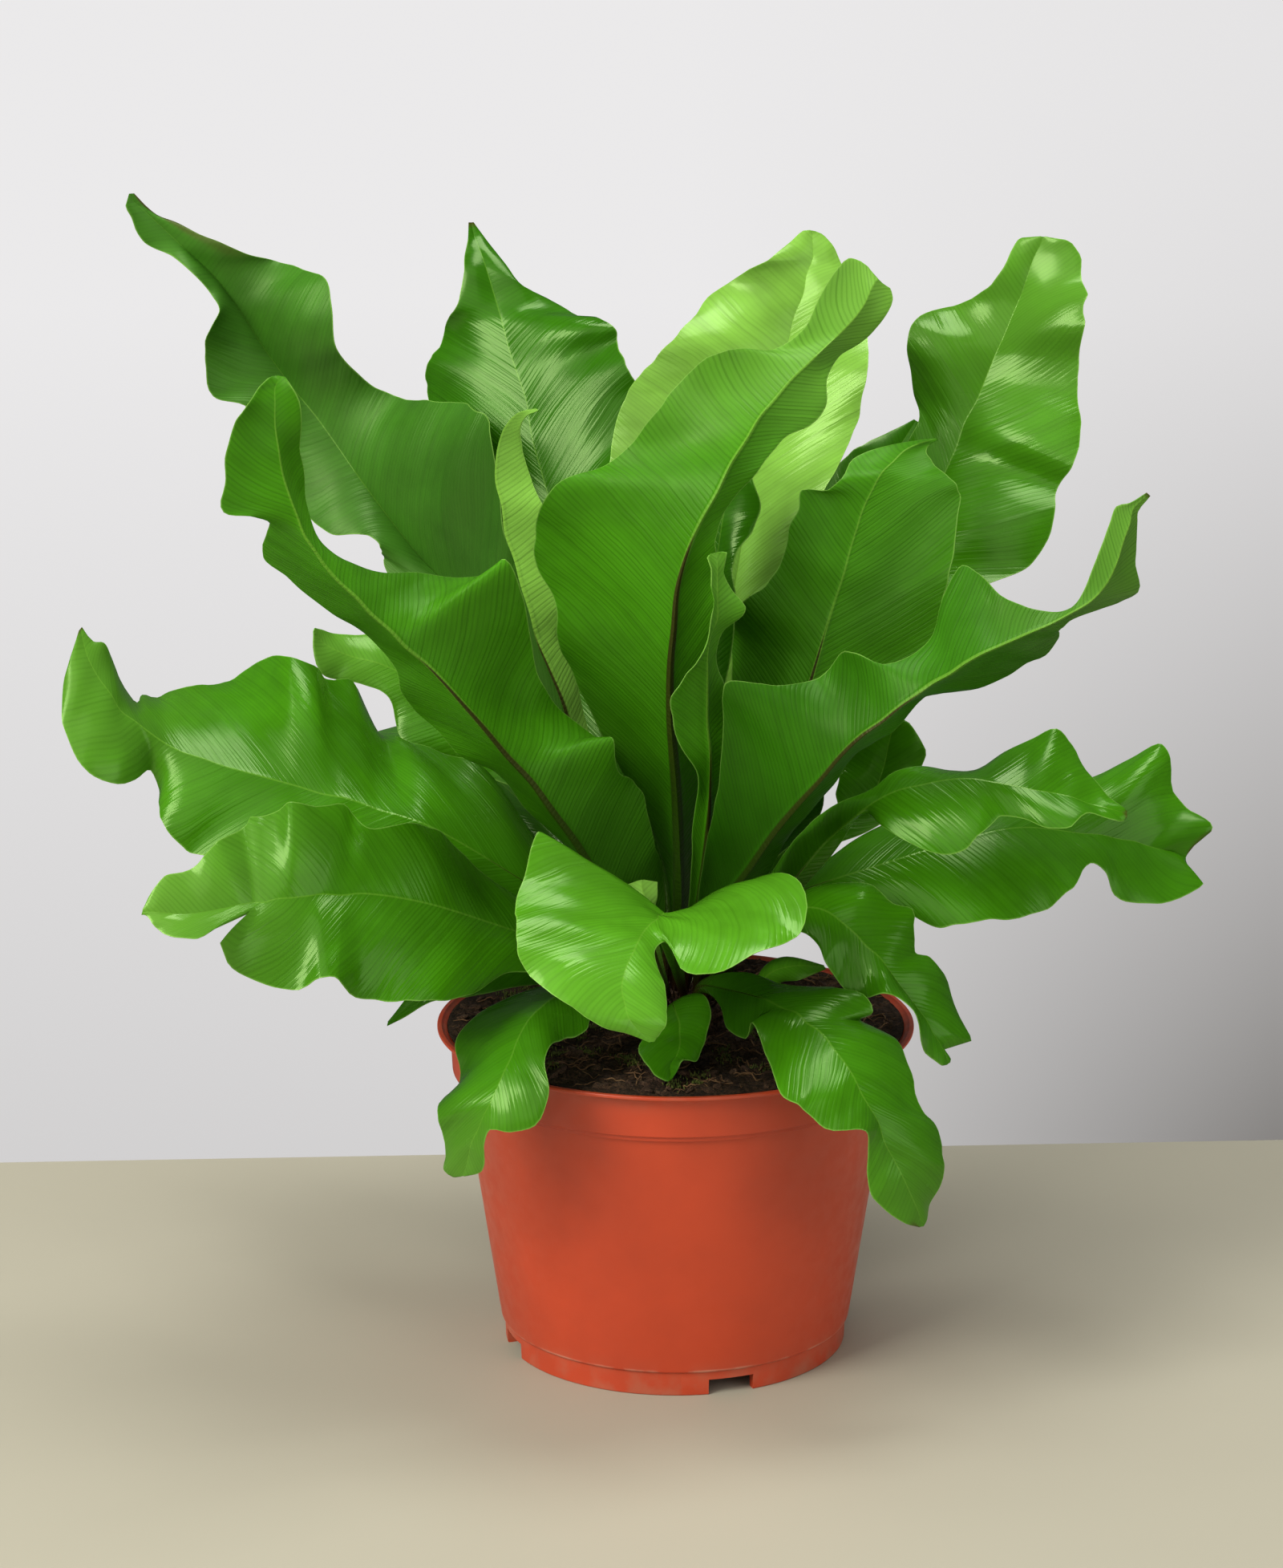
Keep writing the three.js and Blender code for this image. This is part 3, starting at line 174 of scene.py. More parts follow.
# How far a vein runs towards the tip for each millimetre that it is from the midrib
VEIN_SLANT = 0.75

# Half the width of a blunt tip, and how finely a blade is divided along and across
TIP_HALF = 0.9
ALONG_STEP = 1.6
SPLINE_SAMPLES = 600
SIDE_COLUMNS = 12
RIB_COLUMNS = (0.4, 0.8, 1.1, 1.6)
RIB_COLUMNS_ROOT = 1.7
RIB_COLUMNS_TIP = 0.5

# Width of the painted highlight line along a margin, and how wide half a blade has to be to have one
MARGIN_BAND = 0.45
MARGIN_HIGHLIGHT_LEAST_WIDTH = 3.0

# Leaves whose look differs from their tone
LOOKS = {"folded": "pale", "pale_back": "pale", "pale_bud": "pale", "left_back": "mid", "top_left": "dull"}

# How much paler the tip of a leaf is than its middle: partly the young tip's own paler green, and on
# left_low, long_left, sweeping_right and left_back also a painted highlight
PALE_TIPS = {
    "centre": 0.8, "folded": 0.4, "front": 0.3, "left_low": 0.6, "front_left": 0.4, "tall_right": 0.4,
    "front_right": 0.2, "young_curl": 0.4, "long_left": 0.35, "left_back": 0.6, "sweeping_right": 0.6,
}
PALE_FROM = 0.7

# How many times wider the brown of a leaf's midrib is than that of the others
BOLD_RIBS = {"centre": 2.0}

# Leaves with a margin dried up at the tip: the share of their length and the side
DRY_MARGINS = {"top_left": (0.1, 1), "right_dark": (0.03, -1), "front_right": (0.03, 1)}

# Leaves whose very tip has dried up
DRY_TIPS = ("tall_left", "sweeping_right", "long_left", "right_light")
DRY_TIP_SHARE = 0.003

# How the two faces of a leaf differ: how fresh the green is, how strongly the veins and the midrib
# are drawn and raised, how wide the midrib is in metres, how far its brown runs, and the wax
FACES = {
    "upper": {"fresh": 1.0, "vein_line": 0.2, "vein_height": 0.8, "rib_line": 0.22, "rib_half": 0.0003,
              "brown_half": 0.0007, "brown_end": 0.34, "wax": 1.0},
    "under": {"fresh": 1.1, "vein_line": 0.36, "vein_height": 1.6, "rib_line": 0.4, "rib_half": 0.0006,
              "brown_half": 0.0015, "brown_end": 0.62, "wax": 0.6},
}

# Heights in metres between which dust lies on the foot and on the lip, and how far a scuff reaches
FOOT_DUST = (0.014, 0.0)
LIP_DUST = (0.098, 0.107, 0.0, 0.4)
SCUFF_REACH = (0.0009, 0.0003)
DUST_COVER = 0.35
SCUFF_COVER = 0.6

# Crumbly finishes: crumbs to a metre, height of the crumbs in metres, and dullness
GRIT = {
    "Potting soil": (420.0, 0.0012, 0.92),
    "Bark chips": (900.0, 0.0004, 0.85),
    "Fibres": (700.0, 0.0001, 0.8),
    "Moss": (800.0, 0.0001, 0.8),
    "Crown": (520.0, 0.0008, 0.85),
}

# Leaf finish: shades of the green, shares that a layer covers, and stretches of the leaf's length; the base
# layer is painted shade towards the leaf's foot, the margin layer a painted highlight
DEEP = 0.6
BAND_SHADE = 0.6
VEIN_SHADE = 0.55
PAINTED_BASE_SHADE = 0.4
MOTTLE_COVER = 0.8
BAND_COVER = 0.22
MARGIN_HIGHLIGHT_COVER = 0.5
BROWN_COVER = 0.92
PAINTED_BASE_SHADE_COVER = 0.75
DRY_COVER = 0.85
PAINTED_BASE_SHADE_STRETCH = (0.55, 0.15)
STALK_STRETCH = (0.2, 0.04)
SMOOTH_TIP_STRETCH = (0.98, 0.8)

# Height of the broad bands and of the fine streaks, where the height of a vein is about 1
BAND_HEIGHT = 7.0
STREAK_HEIGHT = 3.5

# Noise along the veins: its scale from one vein to the next, its scale along a vein, and its detail
BAND_NOISE = (240.0, 10.0, 2.0)
STREAK_NOISE = (440.0, 8.0, 1.0)

# Painted shadow on the wall: where it darkens and by how much, by the direction that it is seen in
WALL_LOW = (-0.16, -0.335, 0.0, 0.29)
WALL_RIGHT = (0.01, 0.134)
WALL_DOWN = (-0.1, -0.33)
CORNER_SHADOW = (0.57, 0.07)

# Lamps: the point that they look at, then the place, size and colour of each
LAMP_TARGET = (0.0, 0.0, 0.2)
LAMPS = {
    "key": ((-1.25, -1.1, 1.35), 0.95, (1.0, 0.985, 0.95)),
    "soft": ((-0.9, -1.3, 1.5), 2.4, (1.0, 0.985, 0.95)),
    "top": ((0.15, 0.1, 1.75), 0.7, (1.0, 1.0, 1.0)),
    "fill": ((1.4, -1.3, 0.7), 1.2, (0.95, 0.98, 1.0)),
}

# Each frond has a seat on the crown, a leaf tone and its shape from root to tip.
# A row is a point of the midrib, of the left margin and of the right margin, as
# the upper face shows them, each as x, y, z. The last row is the tip.
FRONDS = {
    "top_left": (("middle", 6), "dark", [
        (-25, 30, 159, -30, 32, 161, -24, 34, 166),
        (-51, 58, 196, -71, 62, 202, -46, 48, 232),
        (-66, 72, 217, -86, 76, 223, -53, 50, 251),
        (-76, 82, 233, -98, 88, 240, -57, 54, 273),
        (-86, 90, 242, -98, 86, 246, -61, 58, 290),
        (-98, 97, 256, -105, 88, 249, -66, 74, 295),
        (-107, 103, 267, -114, 92, 248, -79, 92, 293),
        (-114, 108, 276, -121, 98, 251, -91, 104, 292),
        (-121, 112, 285, -132, 106, 263, -102, 108, 296),
        (-128, 115, 293, -143, 108, 288, -109, 104, 304),
        (-134, 117, 301, -154, 108, 292, -113, 98, 312),
        (-139, 118, 308, -157, 106, 304, -114, 98, 323),
        (-144, 119, 316, -156, 104, 313, -116, 106, 332),
        (-149, 120, 323, -152, 106, 321, -124, 116, 333),
        (-154, 120, 330, -155, 112, 326, -133, 120, 336),
        (-160, 120, 336, -160, 112, 332, -142, 118, 338),
        (-165, 119, 341, -168, 116, 338, -151, 118, 342),
        (-169, 119, 345, -175, 117, 341, -159, 118, 345),
        (-174, 118, 350, -179, 116, 345, -167, 119, 349),
        (-178, 117, 354, -181, 115, 351, -173, 120, 351),
        (-181, 116, 357, -183, 115, 355, -177, 118, 355),
        (-181, 116, 359),
    ]),
    "tall_left": (("middle", 5), "dark", [
        (-14, 22, 153, -18, 24, 154, -10, 20, 155),
        (-27, 46, 206, -40, 54, 209, -16, 40, 216),
        (-37, 60, 251, -61, 65, 258, -21, 58, 273),
        (-43, 70, 271, -72, 90, 275, -15, 66, 286),
        (-47, 77, 284, -81, 100, 289, -13, 74, 301),
        (-49, 84, 295, -83, 104, 297, -16, 78, 308),
        (-52, 89, 303, -82, 105, 303, -19, 84, 314),
        (-55, 94, 311, -79, 106, 309, -20, 84, 319),
        (-57, 98, 318, -77, 106, 316, -24, 90, 321),
        (-59, 102, 324, -73, 102, 322, -32, 100, 320),
        (-61, 105, 330, -71, 103, 329, -40, 104, 325),
        (-63, 108, 336, -70, 106, 335, -51, 105, 330),
        (-65, 112, 341, -70, 111, 339, -57, 110, 337),
        (-67, 116, 345, -69, 114, 344, -63, 116, 344),
        (-68, 118, 349),
    ]),
    "folded": (("inner", 4), "light", [
        (-14, -2, 157, -11, -2, 158, -16, 6, 157),
        (-26, -5, 190, -22, -3, 193, -26, 14, 189),
        (-33, -5, 205, -28, -1, 206, -31, 18, 204),
        (-36, -5, 215, -31, 0, 217, -34, 20, 215),
        (-40, -4, 225, -34, 0, 227, -37, 24, 227),
        (-44, -3, 235, -37, 0, 234, -41, 28, 240),
        (-46, -2, 243, -37, 1, 243, -45, 30, 247),
        (-49, 0, 252, -39, 3, 249, -48, 32, 253),
        (-51, 3, 259, -41, 6, 257, -51, 32, 260),
        (-54, 6, 267, -42, 9, 265, -53, 32, 268),
        (-55, 9, 275, -41, 12, 274, -55, 32, 275),
        (-57, 12, 282, -45, 15, 280, -57, 32, 281),
        (-57, 14, 288, -48, 17, 287, -57, 30, 288),
        (-56, 16, 294, -49, 18, 293, -55, 26, 294),
        (-54, 17, 299, -49, 18, 298, -52, 23, 299),
        (-50, 18, 303, -47, 18, 302, -49, 21, 303),
        (-44, 19, 304),
    ]),
    "centre": (("inner", 0), "mid", [
        (1, -16, 161, 6, -8, 161, -4, -12, 163),
        (0, -22, 189, 10, -14, 191, -17, -14, 195),
        (-2, -30, 217, 12, -24, 226, -32, -18, 224),
        (-2, -34, 234, 12, -30, 243, -37, -20, 239),
        (-1, -37, 246, 12, -33, 255, -38, -20, 252),
        (0, -39, 259, 12, -35, 265, -44, -22, 264),
        (3, -41, 271, 12, -37, 274, -44, -24, 274),
        (7, -42, 281, 14, -37, 282, -42, -26, 282),
        (12, -42, 290, 18, -37, 288, -35, -28, 291),
        (16, -40, 298, 24, -35, 294, -23, -26, 295),
        (21, -36, 305, 29, -32, 300, -14, -24, 301),
        (25, -32, 311, 34, -28, 305, -7, -24, 311),
        (30, -27, 316, 41, -24, 308, -1, -22, 319),
        (35, -22, 321, 46, -19, 312, 9, -20, 327),
        (40, -18, 325, 46, -15, 319, 20, -18, 330),
        (45, -14, 329, 51, -6, 326, 30, -14, 329),
        (50, -10, 333, 57, -4, 329, 39, -10, 335),
        (55, -8, 338, 62, -3, 334, 43, -6, 343),
        (58, -6, 342, 65, -2, 338, 49, -3, 352),
        (60, -4, 346, 67, -2, 343, 54, 0, 355),
        (62, -3, 349, 66, -2, 346, 59, -1, 353),
        (63, -2, 348),
    ]),
    "pale_back": (("inner", 2), "light", [
        (7, 20, 162, 2, 22, 164, 12, 18, 165),
        (12, 32, 199, -2, 34, 204, 23, 26, 208),
        (16, 40, 224, -8, 42, 234, 27, 30, 234),
        (20, 46, 244, -15, 47, 257, 32, 32, 248),
        (23, 52, 261, -20, 52, 272, 42, 36, 264),
        (26, 58, 276, -21, 56, 283, 51, 42, 278),
        (29, 63, 288, -19, 60, 294, 57, 48, 290),
        (31, 67, 298, -15, 63, 302, 60, 52, 299),
        (34, 71, 308, -10, 64, 309, 62, 56, 310),
        (37, 75, 316, -4, 66, 315, 63, 64, 318),
        (39, 78, 324, 5, 74, 323, 62, 70, 325),
        (42, 80, 331, 12, 82, 331, 60, 76, 331),
        (43, 82, 337, 21, 82, 337, 58, 80, 336),
        (45, 84, 342, 30, 80, 342, 55, 82, 340),
        (45, 85, 347, 37, 84, 347, 52, 84, 346),
        (45, 86, 350, 42, 86, 351, 48, 86, 350),
        (45, 86, 351),
    ]),
    "tall_right": (("middle", 3), "mid", [
        (23, 34, 168, 18, 36, 171, 28, 32, 169),
        (50, 58, 208, 38, 62, 218, 65, 50, 208),
        (66, 70, 233, 50, 76, 245, 85, 56, 228),
        (77, 80, 248, 62, 88, 262, 103, 60, 238),
        (85, 86, 260, 71, 94, 271, 117, 62, 245),
        (90, 91, 269, 78, 100, 278, 125, 72, 257),
        (94, 95, 277, 82, 104, 286, 127, 80, 267),
        (97, 98, 285, 80, 108, 293, 131, 76, 275),
        (101, 100, 292, 79, 108, 301, 134, 84, 287),
        (104, 103, 299, 78, 108, 309, 134, 92, 296),
        (107, 105, 306, 80, 112, 315, 134, 94, 307),
        (110, 107, 312, 87, 118, 319, 135, 90, 319),
        (113, 109, 319, 97, 116, 323, 135, 94, 325),
        (116, 111, 326, 106, 112, 329, 137, 98, 328),
        (118, 112, 332, 110, 112, 335, 135, 104, 332),
        (120, 113, 338, 113, 114, 341, 135, 108, 340),
        (122, 113, 342, 115, 115, 344, 131, 110, 344),
        (123, 113, 345),
    ]),
    "cupped_right": (("middle", 2), "mid", [
        (16, 4, 158, 21, 8, 157, 12, 10, 158),
        (31, 9, 189, 46, 10, 187, 19, 20, 194),
        (41, 14, 210, 66, 14, 207, 18, 26, 219),
        (45, 17, 222, 76, 16, 221, 18, 28, 229),
        (48, 20, 232, 83, 14, 232, 21, 21, 240),
        (51, 23, 241, 85, 15, 242, 29, 21, 247),
        (54, 25, 250, 87, 17, 251, 34, 22, 256),
        (56, 28, 257, 89, 20, 260, 36, 24, 264),
        (58, 30, 263, 90, 24, 268, 39, 27, 270),
        (60, 32, 269, 91, 28, 275, 40, 29, 276),
        (63, 34, 275, 89, 32, 278, 49, 30, 276),
        (66, 36, 280, 86, 36, 280, 53, 33, 279),
        (70, 40, 283, 83, 42, 283, 57, 42, 283),
        (74, 44, 286, 81, 45, 285, 65, 46, 286),
        (79, 46, 288, 82, 47, 287, 75, 49, 288),
        (84, 48, 289),
    ]),
    # sweeping_right's dark tone is partly painted shade, for its near half that lies in shade
    "sweeping_right": (("middle", 1), "dark", [
        (13, -20, 149, 16, -12, 145, 7, -24, 160),
        (23, -34, 169, 29, -10, 161, 11, -40, 184),
        (30, -42, 182, 36, -12, 171, 13, -46, 203),
        (37, -49, 193, 43, -18, 184, 14, -50, 221),
        (44, -55, 203, 51, -22, 195, 15, -56, 232),
        (50, -60, 212, 57, -26, 202, 28, -52, 233),
        (56, -64, 219, 63, -32, 210, 43, -46, 232),
        (62, -66, 224, 69, -36, 216, 50, -50, 240),
        (67, -68, 229, 74, -40, 222, 54, -58, 244),
        (72, -69, 233, 80, -42, 225, 62, -62, 241),
        (77, -70, 237, 87, -44, 228, 71, -58, 242),
        (82, -71, 240, 94, -46, 231, 78, -52, 247),
        (86, -71, 243, 101, -47, 234, 81, -48, 258),
        (91, -71, 246, 107, -48, 238, 87, -46, 268),
        (96, -70, 248, 113, -48, 240, 92, -50, 266),
        (101, -69, 250, 117, -48, 245, 97, -58, 262),
        (106, -68, 252, 116, -56, 251, 104, -62, 259),
        (112, -66, 254, 119, -56, 253, 112, -62, 257),
        (119, -63, 257, 129, -52, 255, 119, -60, 258),
        (125, -60, 260, 137, -46, 256, 123, -58, 263),
        (130, -57, 265, 141, -44, 259, 126, -56, 270),
        (133, -55, 271, 139, -46, 268, 129, -54, 276),
        (135, -53, 277, 140, -46, 275, 131, -52, 282),
        (137, -51, 282, 140, -47, 282, 133, -50, 287),
        (138, -49, 286, 140, -47, 285, 137, -49, 288),
        (143, -46, 290),
    ]),
    "back_right": (("middle", 4), "dark", [
        (15, 46, 165, 12, 49, 167, 19, 44, 166),
        (36, 82, 203, 26, 88, 207, 47, 78, 201),
        (56, 108, 235, 43, 112, 243, 69, 104, 231),
        (68, 124, 257, 57, 128, 266, 82, 120, 252),
        (83, 138, 278),
    ]),
    "young_curl": (("inner", 1), "mid", [
        (9, -24, 171, 12, -20, 173, 5, -26, 176),
        (10, -35, 194, 15, -31, 193, 6, -41, 201),
        (10, -42, 207, 15, -38, 206, 1, -50, 212),
        (9, -45, 218, 15, -40, 217, -1, -53, 222),
        (9, -47, 227, 15, -42, 228, -2, -54, 229),
        (9, -48, 234, 12, -43, 236, 2, -54, 235),
        (9, -49, 241, 12, -44, 242, 6, -54, 239),
        (10, -49, 247, 14, -44, 247, 9, -53, 245),
        (12, -49, 252, 20, -45, 252, 10, -52, 252),
        (12, -49, 257, 21, -46, 255, 11, -51, 258),
        (12, -49, 261, 17, -46, 260, 10, -51, 262),
        (12, -48, 266, 14, -46, 266, 10, -50, 268),
        (12, -47, 270, 15, -46, 272, 9, -49, 271),
        (11, -47, 272),
    ]),
    "inner": (("inner", 3), "dark", [
        (5, 9, 179, 2, 11, 181, 8, 9, 182),
        (10, 13, 217, 5, 16, 219, 16, 9, 218),
        (12, 17, 244, 7, 21, 244, 19, 12, 247),
        (13, 19, 254, 8, 23, 255, 18, 13, 253),
        (14, 20, 261, 9, 25, 262, 19, 14, 259),
        (15, 21, 268, 10, 26, 269, 24, 15, 265),
        (16, 22, 273, 12, 26, 275, 26, 16, 269),
        (18, 22, 279, 14, 25, 282, 27, 17, 274),
        (19, 22, 284, 16, 24, 286, 25, 18, 280),
        (21, 22, 289),
    ]),
    "long_left": (("middle", 7), "mid", [
        (-24, -14, 142, -27, -18, 140, -23, -8, 148),
        (-39, -20, 154, -43, -30, 149, -45, 2, 168),
        (-51, -25, 163, -61, -38, 157, -62, 8, 189),
        (-65, -28, 173, -77, -42, 165, -76, 12, 194),
        (-78, -30, 181, -90, -42, 167, -89, 16, 199),
        (-86, -30, 184, -98, -42, 168, -96, 24, 197),
        (-93, -30, 186, -105, -42, 169, -101, 28, 205),
        (-98, -30, 188, -111, -42, 169, -105, 26, 213),
        (-104, -30, 190, -118, -42, 170, -112, 14, 218),
        (-111, -29, 191, -125, -42, 171, -115, 4, 225),
        (-118, -28, 193, -132, -41, 173, -123, 4, 227),
        (-126, -27, 195, -140, -40, 173, -131, 12, 224),
        (-134, -26, 197, -148, -39, 174, -138, 16, 220),
        (-142, -25, 199, -154, -38, 177, -146, 12, 217),
        (-148, -24, 201, -160, -35, 182, -153, 8, 216),
        (-155, -23, 203, -162, -30, 187, -160, 8, 216),
        (-161, -22, 206, -162, -24, 192, -165, 6, 214),
        (-165, -22, 209, -165, -22, 197, -170, 2, 215),
        (-170, -22, 213, -169, -30, 196, -171, -4, 214),
        (-174, -22, 216, -174, -36, 196, -174, -8, 220),
        (-177, -21, 221, -183, -38, 200, -176, -9, 226),
        (-181, -19, 226, -189, -34, 208, -178, -9, 231),
        (-184, -17, 231, -191, -30, 217, -180, -10, 235),
        (-186, -14, 236, -191, -22, 227, -183, -12, 236),
        (-187, -12, 240),
    ]),
    "left_low": (("outer", 14), "mid", [
        (-19, -22, 133, -22, -24, 131, -17, -20, 135),
        (-36, -42, 145, -38, -52, 139, -36, -32, 152),
        (-50, -52, 153, -52, -66, 144, -51, -36, 160),
        (-59, -58, 158, -62, -76, 141, -62, -40, 168),
        (-68, -64, 163, -71, -84, 141, -68, -44, 178),
        (-76, -69, 167, -79, -89, 142, -74, -50, 186),
        (-84, -73, 170, -86, -93, 144, -82, -55, 189),
        (-91, -76, 172, -91, -94, 145, -90, -61, 189),
        (-97, -78, 173, -97, -96, 146, -95, -64, 190),
        (-102, -80, 173, -103, -100, 152, -99, -61, 193),
        (-108, -82, 174, -108, -101, 153, -102, -61, 197),
        (-112, -84, 174, -114, -100, 149, -110, -68, 198),
        (-117, -86, 174, -122, -100, 151, -118, -71, 200),
        (-121, -87, 174, -130, -101, 154, -121, -69, 197),
        (-125, -88, 173, -135, -103, 159, -127, -69, 195),
        (-126, -88, 173, -137, -104, 165, -130, -70, 195),
        (-127, -88, 173, -128, -90, 171, -131, -71, 193),
        (-128, -88, 173, -140, -98, 167, -133, -74, 192),
        (-132, -90, 173, -145, -100, 165, -139, -83, 191),
        (-138, -91, 172, -150, -100, 166, -142, -86, 188),
        (-145, -92, 171, -155, -98, 167, -147, -87, 183),
        (-151, -93, 171, -158, -96, 169, -154, -89, 182),
        (-156, -94, 172, -160, -94, 171, -158, -92, 178),
        (-161, -94, 172),
    ]),
    "left_back": (("outer", 11), "light", [
        (-21, 16, 155, -24, 12, 154, -19, 20, 159),
        (-45, 28, 182, -53, 22, 179, -40, 34, 194),
        (-63, 34, 198, -74, 26, 187, -62, 44, 216),
        (-78, 37, 208, -89, 30, 194, -78, 46, 224),
        (-88, 38, 213, -93, 34, 206, -88, 46, 226),
        (-97, 38, 217, -101, 36, 210, -97, 46, 225),
        (-105, 38, 219, -110, 34, 212, -105, 44, 225),
        (-111, 36, 222, -115, 30, 216, -112, 42, 226),
        (-115, 35, 225, -117, 31, 224, -115, 38, 228),
        (-117, 34, 229),
    ]),
    "left_centre": (("middle", 8), "mid", [
        (-15, -24, 148, -4, -17, 161, -19, -16, 148),
        (-26, -36, 168, -8, -23, 178, -31, -18, 166),
        (-32, -43, 180, -11, -28, 191, -39, -22, 177),
        (-39, -50, 192, -18, -34, 200, -49, -26, 188),
        (-45, -54, 202, -20, -40, 213, -58, -32, 199),
        (-52, -58, 211, -25, -34, 210, -67, -36, 206),
        (-59, -62, 221, -35, -30, 217, -74, -40, 214),
        (-65, -65, 229, -42, -36, 229, -81, -44, 222),
        (-71, -68, 237, -45, -46, 244, -85, -48, 230),
        (-76, -70, 243, -47, -56, 260, -86, -50, 237),
        (-82, -73, 249, -52, -62, 273, -92, -52, 244),
        (-86, -75, 254, -60, -54, 267, -98, -54, 250),
        (-92, -77, 260, -70, -50, 265, -105, -58, 256),
        (-96, -78, 265, -80, -54, 267, -112, -60, 262),
        (-101, -79, 270, -89, -60, 269, -118, -62, 268),
        (-105, -80, 275, -96, -64, 272, -125, -62, 273),
        (-108, -81, 280, -102, -68, 275, -124, -70, 281),
        (-111, -82, 285, -107, -70, 281, -122, -78, 288),
        (-113, -83, 291, -110, -70, 288, -127, -88, 292),
        (-115, -84, 297, -112, -70, 295, -134, -92, 294),
        (-117, -84, 304, -112, -72, 303, -133, -92, 303),
        (-118, -84, 311, -112, -76, 310, -132, -92, 312),
        (-119, -83, 318, -111, -80, 319, -130, -90, 321),
        (-119, -82, 325, -112, -80, 325, -126, -88, 326),
        (-119, -80, 329, -114, -80, 329, -124, -84, 329),
        (-118, -79, 331, -116, -79, 332, -121, -81, 332),
        (-119, -78, 332),
    ]),
    "front": (("middle", 0), "light", [
        (0, -26, 136, 3, -28, 137, -3, -28, 137),
        (0, -38, 148, 9, -40, 153, -10, -40, 155),
        (-1, -44, 153, 20, -48, 168, -21, -46, 166),
        (-2, -50, 156, 32, -56, 174, -27, -50, 172),
        (-3, -54, 158, 38, -64, 173, -32, -54, 176),
        (-4, -57, 160, 40, -71, 168, -36, -57, 180),
        (-4, -59, 161, 38, -78, 162, -39, -59, 183),
        (-5, -62, 161, 32, -84, 159, -43, -62, 186),
        (-6, -65, 162, 23, -90, 156, -45, -66, 183),
        (-6, -68, 162, 13, -94, 152, -46, -70, 180),
        (-7, -71, 162, 3, -91, 153, -47, -74, 177),
        (-8, -73, 162, -1, -85, 157, -48, -78, 175),
        (-10, -77, 161, -4, -80, 158, -49, -83, 171),
        (-12, -85, 160, -7, -85, 157, -49, -89, 167),
        (-14, -90, 157, -6, -89, 153, -49, -94, 163),
        (-16, -96, 154, -4, -95, 150, -48, -99, 160),
        (-17, -101, 150, -3, -99, 146, -42, -104, 153),
        (-16, -104, 146, -3, -102, 143, -34, -108, 147),
        (-15, -107, 143, -4, -104, 140, -23, -110, 141),
        (-12, -107, 139, -5, -105, 138, -15, -108, 138),
        (-8, -106, 135),
    ]),
    "pale_bud": (("middle", 9), "light", [
        (-8, -28, 145, -6, -27, 144, -10, -28, 145),
        (-9, -33, 153, -7, -31, 153, -11, -33, 154),
        (-10, -33, 158, -6, -31, 158, -15, -33, 160),
        (-11, -31, 161, -6, -29, 161, -17, -31, 161),
        (-11, -30, 162, -6, -28, 162, -15, -30, 162),
        (-11, -29, 163),
    ]),
    "front_left": (("outer", 15), "mid", [
        (-15, -26, 122, -12, -28, 121, -18, -23, 123),
        (-31, -38, 131, -26, -46, 127, -36, -33, 131),
        (-37, -48, 131, -28, -60, 124, -46, -38, 130),
        (-42, -57, 130, -35, -68, 124, -55, -44, 127),
        (-46, -65, 128, -39, -76, 123, -63, -52, 124),
        (-49, -71, 124, -40, -83, 119, -69, -60, 119),
        (-51, -77, 120, -39, -87, 114, -68, -64, 112),
        (-53, -81, 117, -40, -90, 110, -69, -68, 108),
        (-55, -84, 113, -44, -92, 104, -73, -74, 104),
        (-57, -86, 109, -51, -91, 101, -73, -78, 101),
        (-59, -86, 105, -57, -89, 101, -72, -78, 97),
        (-61, -86, 100, -59, -88, 96, -72, -79, 93),
        (-63, -86, 96, -59, -88, 91, -72, -80, 89),
        (-64, -85, 91, -60, -87, 87, -72, -80, 85),
        (-65, -84, 87, -63, -85, 85, -69, -81, 83),
        (-66, -83, 84),
    ]),
    "front_small": (("outer", 0), "mid", [
        (-1, -26, 121, 6, -26, 125, -4, -28, 119),
        (0, -32, 120, 9, -33, 126, -7, -36, 118),
        (1, -39, 119, 11, -39, 123, -10, -43, 116),
        (1, -44, 117, 10, -45, 119, -12, -48, 115),
        (1, -51, 116, 8, -52, 115, -11, -56, 114),
        (0, -56, 114, 6, -58, 113, -9, -61, 112),
        (-2, -59, 112, 2, -60, 114, -7, -64, 110),
        (-2, -62, 110, 0, -63, 111, -4, -66, 109),
        (-2, -65, 109),
    ]),
    "front_right": (("outer", 1), "mid", [
        (8, -24, 126, 9, -22, 128, 9, -26, 125),
        (18, -38, 129, 22, -32, 134, 14, -46, 126),
        (24, -46, 130, 33, -38, 132, 16, -56, 122),
        (28, -53, 131, 43, -44, 132, 21, -62, 121),
        (33, -59, 130, 50, -54, 134, 23, -64, 128),
        (37, -63, 130, 58, -57, 133, 25, -68, 125),
        (40, -67, 128, 61, -60, 129, 27, -72, 121),
        (43, -70, 127, 57, -60, 128, 29, -78, 118),
        (46, -74, 125, 62, -62, 126, 30, -84, 115),
        (48, -78, 123, 68, -64, 123, 32, -90, 111),
        (51, -81, 120, 70, -68, 118, 36, -94, 110),
        (54, -85, 116, 72, -72, 113, 40, -96, 109),
        (56, -87, 112, 73, -76, 108, 45, -98, 105),
        (58, -89, 109, 76, -78, 103, 51, -98, 104),
        (61, -90, 104, 80, -78, 100, 57, -96, 103),
        (63, -91, 98, 82, -80, 94, 58, -94, 96),
        (66, -90, 92, 82, -82, 88, 58, -94, 88),
        (69, -90, 86, 80, -82, 80, 60, -94, 81),
        (72, -89, 79, 78, -84, 75, 65, -92, 75),
        (74, -88, 74, 77, -86, 71, 70, -90, 71),
        (75, -87, 69),
    ]),
    "right_low": (("outer", 2), "mid", [
        (15, -18, 136, 16, -14, 138, 16, -20, 135),
        (28, -26, 148, 31, -20, 152, 29, -30, 145),
        (41, -33, 155, 45, -24, 160, 39, -40, 149),
        (47, -37, 155, 53, -27, 162, 44, -45, 146),
        (52, -40, 152, 61, -30, 162, 46, -49, 142),
